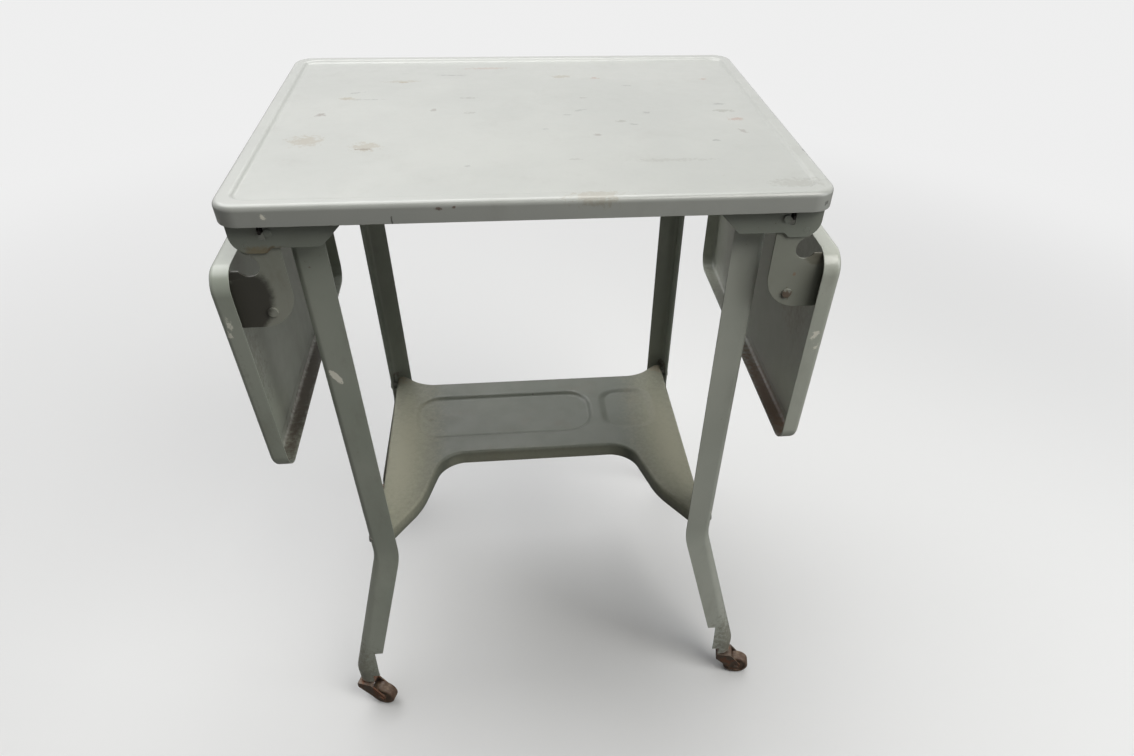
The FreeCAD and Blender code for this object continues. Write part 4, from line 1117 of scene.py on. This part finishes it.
    def turn_round(self, shape: bmesh.types.BMesh, edges: list[bmesh.types.BMEdge], centre: Vector,
                   axis: Vector, angle: float, steps: int, opening: float) -> list[bmesh.types.BMEdge]:
        """Sweep the section round an axis in steps.

        Args:
            shape: the mesh.
            edges: the section's edges to go on from.
            centre: a point on the axis.
            axis: the axis's direction.
            angle: how far, in radians.
            steps: number of steps.
            opening: how much the fold's radius grows on the way.

        Returns:
            The last section's edges.
        """
        for _ in range(steps):
            ends = list({vert for edge in edges for vert in edge.verts})
            made = bmesh.ops.spin(shape, geom=edges + ends, cent=centre, axis=axis, angle=angle / steps,
                                  steps=1)
            edges = [item for item in made["geom_last"] if isinstance(item, bmesh.types.BMEdge)]
            self.open_fold(edges, opening / steps)
        return edges

    @staticmethod
    def open_fold(edges: list[bmesh.types.BMEdge], growth: float) -> None:
        """Make a section's fold rounder, with its two flanges left where they are.

        Args:
            edges: the section's edges.
            growth: how much the fold's radius grows.
        """
        if growth <= 0:
            return
        sides = sorted(edges, key=lambda edge: edge.calc_length())[-2:]
        folds = {vert for edge in edges if edge not in sides for vert in edge.verts}
        foot = {side: next(vert for vert in side.verts if vert in folds) for side in sides}
        ways = [(foot[side].co - side.other_vert(foot[side]).co).normalized() for side in sides]
        gap = (foot[sides[1]].co - foot[sides[0]].co).length
        radius = gap / (ways[0] - ways[1]).length
        corner = foot[sides[0]].co + ways[0] * radius
        for vert in folds:
            vert.co = corner + (vert.co - corner) * ((radius + growth) / radius)

    def trim(self, shape: bmesh.types.BMesh) -> None:
        """Notch both flanges above the foot and step them in at its lower end.

        Args:
            shape: the leg's skin.
        """
        up = Vector((0.0, 0.0, 1.0))
        for side, out in ((Vector((1.0, 0.0, 0.0)), self.out[0]), (Vector((0.0, 1.0, 0.0)), self.out[1])):
            cuts = ((self.notch, out - self.notched), (self.step, out - self.tip))
            for level, edge in cuts:
                for place, normal in ((up * level, up), (side * edge, side)):
                    bmesh.ops.bisect_plane(shape, geom=shape.verts[:] + shape.edges[:] + shape.faces[:],
                                           plane_co=place, plane_no=normal, dist=1e-7)
            gone = [face for face in shape.faces for middle in (face.calc_center_median(),)
                    if any(middle.z < level and middle.dot(side) < edge - 1e-9 for level, edge in cuts)]
            bmesh.ops.delete(shape, geom=gone, context="FACES")


# ---------------------------------------------------------------- turned pieces
@dataclass(frozen=True)
class Turned:
    """A turned piece: a closed line of radii, heights and roundings, spun about an axis."""

    line: tuple[Triple, ...]
    steps: int
    rounding: int = 3

    def shape(self, foot: Sequence[float], way: Sequence[float]) -> bmesh.types.BMesh:
        """Build the piece in place.

        Args:
            foot: the point of its axis where its height is 0.
            way: its axis's direction.

        Returns:
            Its closed mesh.
        """
        shape = bmesh.new()
        face = rounded_face(shape, self.line, 0.0, self.rounding)
        bmesh.ops.delete(shape, geom=[face], context="FACES_ONLY")
        bmesh.ops.rotate(shape, verts=shape.verts, cent=(0.0, 0.0, 0.0),
                         matrix=Matrix.Rotation(math.pi / 2, 3, "X"))
        bmesh.ops.spin(shape, geom=shape.verts[:] + shape.edges[:], cent=(0.0, 0.0, 0.0),
                       axis=(0.0, 0.0, 1.0), angle=math.tau, steps=self.steps, use_merge=True)
        bmesh.ops.remove_doubles(shape, verts=shape.verts, dist=DOUBLES)
        bmesh.ops.recalc_face_normals(shape, faces=shape.faces)
        spot = Matrix.Translation(foot) @ Vector(way).to_track_quat("Z", "Y").to_matrix().to_4x4()
        bmesh.ops.transform(shape, matrix=spot, verts=shape.verts)
        shape.normal_update()
        return shape


# ---------------------------------------------------------------- pieces
class Work(Enum):
    """How a piece was made; the names of pieces made straight from CAD nodes begin with it."""

    SET = "set"
    TURNED = "turned"
    CUT = "cut"
    STAMPED = "stamped"
    DRAWN = "drawn"
    FOLDED = "folded"


class Side(Enum):
    """The table's two sides, by the sign of their X."""

    LEFT = -1.0
    RIGHT = 1.0

    @property
    def label(self) -> str:
        """Give the side's word in node names."""
        return self.name.lower()


class Corner(Enum):
    """The table's corners: the signs of their X and Y, and how far a leg is turned there."""

    FRONT_LEFT = (-1, -1, 180.0)
    FRONT_RIGHT = (1, -1, -90.0)
    REAR_LEFT = (-1, 1, 90.0)
    REAR_RIGHT = (1, 1, 0.0)

    def __init__(self, across: int, along: int, turn: float) -> None:
        """Keep the three values under their own names.

        Args:
            across: the sign of X.
            along: the sign of Y.
            turn: degrees about Z.
        """
        self.across = across
        self.along = along
        self.turn = turn

    @property
    def label(self) -> str:
        """Give the corner's words in node names."""
        return self.name.lower()


def body_of_node(node: str) -> str:
    """Find the body that a CAD node belongs to."""
    bodies = frame["record"]["behaviour"]["bodies"]
    return next(body for body, members in bodies.items() if node in members)


@dataclass(frozen=True)
class SoftenedNode:
    """A CAD node's own form with its triangles merged and its sharp edges eased."""

    node: str
    reach: float = EDGE_ROUNDING
    segments: int = 2
    sharper_than: float = 38.0
    flat_within: float = 0.6

    def shape(self) -> bmesh.types.BMesh:
        """Build the piece in place.

        Returns:
            Its mesh.
        """
        shape = bmesh.new()
        shape.from_mesh(frame["nodes"][self.node].data)
        bmesh.ops.remove_doubles(shape, verts=shape.verts, dist=DOUBLES)
        bmesh.ops.dissolve_limit(shape, angle_limit=math.radians(self.flat_within),
                                 use_dissolve_boundaries=False, verts=shape.verts, edges=shape.edges)
        soften(shape, sharp_edges(shape, self.sharper_than), self.reach, self.segments)
        return shape


@dataclass
class PieceMaker:
    """Turns finished shapes into pieces that ride, replace CAD nodes and carry a finish."""

    count: int = 0
    normal_weight: int = 80
    materials: dict[str, bpy.types.Material] = field(default_factory=dict)

    def material(self, finish: Finish) -> bpy.types.Material:
        """Build a finish's material the first time it is used.

        Args:
            finish: the finish.

        Returns:
            Its material.
        """
        if finish.name not in self.materials:
            self.materials[finish.name] = finish.material()
        return self.materials[finish.name]

    def make(self, name: str, shape: bmesh.types.BMesh, finish: Finish, node: str) -> bpy.types.Object:
        """Turn a shape into a piece that stands for one CAD node.

        Args:
            name: the piece's name.
            shape: its mesh in the part's frame, in metres; it is freed.
            finish: its finish.
            node: the CAD node that it replaces, whose body it rides on.

        Returns:
            The piece.
        """
        write_edge_wear(shape)
        mesh = bpy.data.meshes.new(name)
        shape.to_mesh(mesh)
        shape.free()
        mesh.shade_smooth()
        mesh.materials.append(self.material(finish))
        piece = bpy.data.objects.new(name, mesh)
        bpy.context.scene.collection.objects.link(piece)
        weighted = piece.modifiers.new("weighted_normals", "WEIGHTED_NORMAL")
        weighted.weight = self.normal_weight
        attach(piece, body_of_node(node))
        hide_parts(node)
        self.count += 1
        LOG.info("%s: %d faces", name, len(mesh.polygons))
        return piece

    def soften(self, work: Work, node: str, finish: Finish) -> bpy.types.Object:
        """Make a piece of a CAD node's own form."""
        return self.make(f"{work.value}_{node}", SoftenedNode(node).shape(), finish, node)


# ---------------------------------------------------------------- the table
@dataclass(frozen=True)
class Top:
    """The pressed top, and under it the gussets, catches, rails, rivets and hinge pins."""

    level: float = 673.0 * MM
    pan: PressedPan = PressedPan(470.0 * MM, 372.0 * MM)
    enamel: WornEnamel = TOP_ENAMEL

    def shape(self) -> bmesh.types.BMesh:
        """Build the top's panel in place.

        Returns:
            Its closed mesh.
        """
        shape = self.pan.shape()
        bmesh.ops.translate(shape, verts=shape.verts, vec=(0.0, 0.0, self.level))
        return shape

    def build(self, maker: PieceMaker) -> None:
        """Make the top's pieces and those under it.

        Args:
            maker: dresses the pieces and puts them on their bodies.
        """
        maker.make("pressed_top", self.shape(), self.enamel, "top_panel")
        # The gussets, catch rivets and hinge pins take the darker enamel that paints the shade under the top's
        # rim.
        for corner in Corner:
            maker.soften(Work.FOLDED, "gusset_" + corner.label, PAINTED_SHADE_ENAMEL)
            # The catches take the near-black steel that paints the shade in the gussets' slots.
            maker.soften(Work.STAMPED, "catch_" + corner.label, CATCH_STEEL)
        for side in Side:
            maker.soften(Work.FOLDED, "rail_" + side.label, FRAME_ENAMEL)
        for node in ("catch_rivets", "hinge_pins"):
            maker.soften(Work.SET, node, PAINTED_SHADE_ENAMEL)


@dataclass(frozen=True)
class Leaf:
    """A hanging leaf: its panel, its two arms and their rivets."""

    side: Side
    enamel: WornEnamel
    face: float = 253.5 * MM
    upper: float = 619.0 * MM
    pan: PressedPan = PressedPan(205.0 * MM, 370.0 * MM)

    def shape(self) -> bmesh.types.BMesh:
        """Build the leaf's panel in place, hanging.

        Returns:
            Its closed mesh.
        """
        shape = self.pan.shape()
        turn = Matrix.Rotation(self.side.value * math.pi / 2, 3, "Y")
        bmesh.ops.rotate(shape, verts=shape.verts, cent=(0.0, 0.0, 0.0), matrix=turn)
        bmesh.ops.translate(shape, verts=shape.verts,
                            vec=(self.side.value * self.face, 0.0, self.upper - self.pan.width / 2))
        return shape

    def build(self, maker: PieceMaker) -> None:
        """Make the leaf's pieces.

        Args:
            maker: dresses the pieces and puts them on their bodies.
        """
        node = "leaf_" + self.side.label
        maker.make("pressed_" + node, self.shape(), self.enamel, node + "_panel")
        maker.soften(Work.FOLDED, node + "_front_arm", ARM_ENAMEL)
        maker.soften(Work.FOLDED, node + "_rear_arm", ARM_ENAMEL)
        maker.soften(Work.SET, node + "_arm_rivets", ARM_ENAMEL)


@dataclass(frozen=True)
class Shelf:
    """The low shelf: scoops front and back, folded flanges and two shallow recesses.

    half_outline holds x, y and rounding of the right half's corners, and recesses holds left, front,
    right, rear, corner radius, depth and width of the wall, all in millimetres.
    """

    level: float = 278.0 * MM
    drop: float = 18.0 * MM
    fold: float = 3.5 * MM
    sheet: float = 1.2 * MM
    support: float = 2.2 * MM
    half_outline: tuple[Triple, ...] = (
        (117.0, -18.0, 35.0), (140.0, -97.0, 90.0), (176.9, -149.9, 4.0), (185.9, -149.9, 4.0),
        (185.9, 149.9, 4.0), (176.9, 149.9, 4.0), (149.0, 127.5, 42.0))
    recesses: tuple[tuple[float, ...], ...] = (
        (-156.0, 14.0, 76.0, 98.0, 32.0, 3.5, 5.0), (88.0, 14.0, 160.0, 98.0, 24.0, 3.2, 8.0))
    enamel: WornEnamel = SHELF_ENAMEL

    def shape(self) -> bmesh.types.BMesh:
        """Build the shelf in place.

        Returns:
            Its closed mesh.
        """
        right = [(x * MM, y * MM, radius * MM) for x, y, radius in self.half_outline]
        left = [(-x, y, radius) for x, y, radius in reversed(right)]
        shape = bmesh.new()
        face = rounded_face(shape, right + left, self.level, 12)
        fold_down(shape, face, self.drop)
        soften(shape, loop_at(shape, self.level), self.fold, 5)
        press_fields(shape, [self.recess(*(value * MM for value in recess)) for recess in self.recesses])
        give_lip(shape, self.sheet, self.level - self.drop)
        return shape

    def recess(self, left: float, front: float, right: float, rear: float, radius: float, depth: float,
               slope: float) -> bmesh.types.BMesh:
        """Press one recess."""
        return pressed_field((left, front), (right, rear), radius, self.level, depth, slope, self.support)

    def build(self, maker: PieceMaker) -> None:
        """Make the shelf and its fasteners.

        Args:
            maker: dresses the pieces and puts them on their bodies.
        """
        maker.make("pressed_shelf", self.shape(), self.enamel, "shelf")
        for work, node in ((Work.TURNED, "shelf_bolts"), (Work.CUT, "shelf_nuts"),
                           (Work.TURNED, "shelf_spacers")):
            maker.soften(work, node, FASTENER_STEEL)


@dataclass(frozen=True)
class Legs:
    """The four legs and the caster sockets in their feet."""

    place: Pair = (193.0 * MM, 157.0 * MM)
    flare: Pair = (50.0 * MM, 31.0 * MM)
    wide: float = 28.0 * MM
    narrow: float = 24.0 * MM

    def leg(self, corner: Corner) -> AngleLeg:
        """Set one leg out.

        Args:
            corner: where it stands.

        Returns:
            The leg.
        """
        out = self.flare if corner.across == corner.along else self.flare[::-1]
        flanges = (self.wide, self.narrow) if corner.across < 0 else (self.narrow, self.wide)
        place = (corner.across * self.place[0], corner.along * self.place[1])
        return AngleLeg(place, out, flanges, corner.turn)

    def build(self, maker: PieceMaker) -> None:
        """Make the legs and the sockets.

        Args:
            maker: dresses the pieces and puts them on their bodies.
        """
        for corner in Corner:
            # The front right leg takes the lighter enamel that paints the stronger light on the right.
            enamel = PAINTED_LIGHT_LEG_ENAMEL if corner is Corner.FRONT_RIGHT else FRAME_ENAMEL
            node = "leg_" + corner.label
            maker.make("bent_" + node, self.leg(corner).shape(), enamel, node)
            maker.soften(Work.DRAWN, "caster_socket_" + corner.label, FRAME_ENAMEL)


@dataclass(frozen=True)
class Casters:
    """The four casters: stem, fork, axle and a moulded wheel, whose line is in millimetres."""

    wheel_steps: int = 48
    wheel_line: tuple[Triple, ...] = (
        (2.6, -7.3, 0.0), (5.5, -7.3, 0.6), (5.5, -5.4, 0.7), (12.5, -5.4, 0.7), (12.5, -7.0, 0.5),
        (16.5, -7.0, 2.6), (16.5, 7.0, 2.6), (12.5, 7.0, 0.5), (12.5, 5.4, 0.7), (5.5, 5.4, 0.7),
        (5.5, 7.3, 0.6), (2.6, 7.3, 0.0))

    def wheel(self, corner: Corner) -> bmesh.types.BMesh:
        """Build one wheel where its joint is.

        Args:
            corner: the wheel's corner.

        Returns:
            Its closed mesh.
        """
        joint = next(one for one in frame["joints"] if one["child"] == "wheel_" + corner.label)
        line = tuple((radius * MM, height * MM, rounding * MM)
                     for radius, height, rounding in self.wheel_line)
        return Turned(line, self.wheel_steps).shape(joint["pos_m"], joint["axis"])

    def build(self, maker: PieceMaker) -> None:
        """Make the casters' pieces.

        Args:
            maker: dresses the pieces and puts them on their bodies.
        """
        for corner in Corner:
            wheel = "wheel_" + corner.label
            maker.make("moulded_" + wheel, self.wheel(corner), BROWN_WHEEL, "caster_" + wheel)
            for work, name in ((Work.TURNED, "stem"), (Work.FOLDED, "fork"), (Work.TURNED, "axle")):
                maker.soften(work, f"caster_{name}_{corner.label}", CASTER_STEEL)


def main() -> None:
    """Build the camera, the studio and the table, and log how many pieces were made."""
    logging.basicConfig(level=logging.INFO, format="%(name)s: %(message)s")
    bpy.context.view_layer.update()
    ViewingCamera().build()
    Studio().build()
    maker = PieceMaker()
    # The right leaf takes the lighter enamel that paints the stronger light on the right.
    for assembly in (Top(), Leaf(Side.LEFT, LEAF_ENAMEL), Leaf(Side.RIGHT, PAINTED_LIGHT_LEAF_ENAMEL), Shelf(), Legs(),
                     Casters()):
        assembly.build(maker)
    LOG.info("%d pieces", maker.count)


if __name__ == "__main__":
    main()
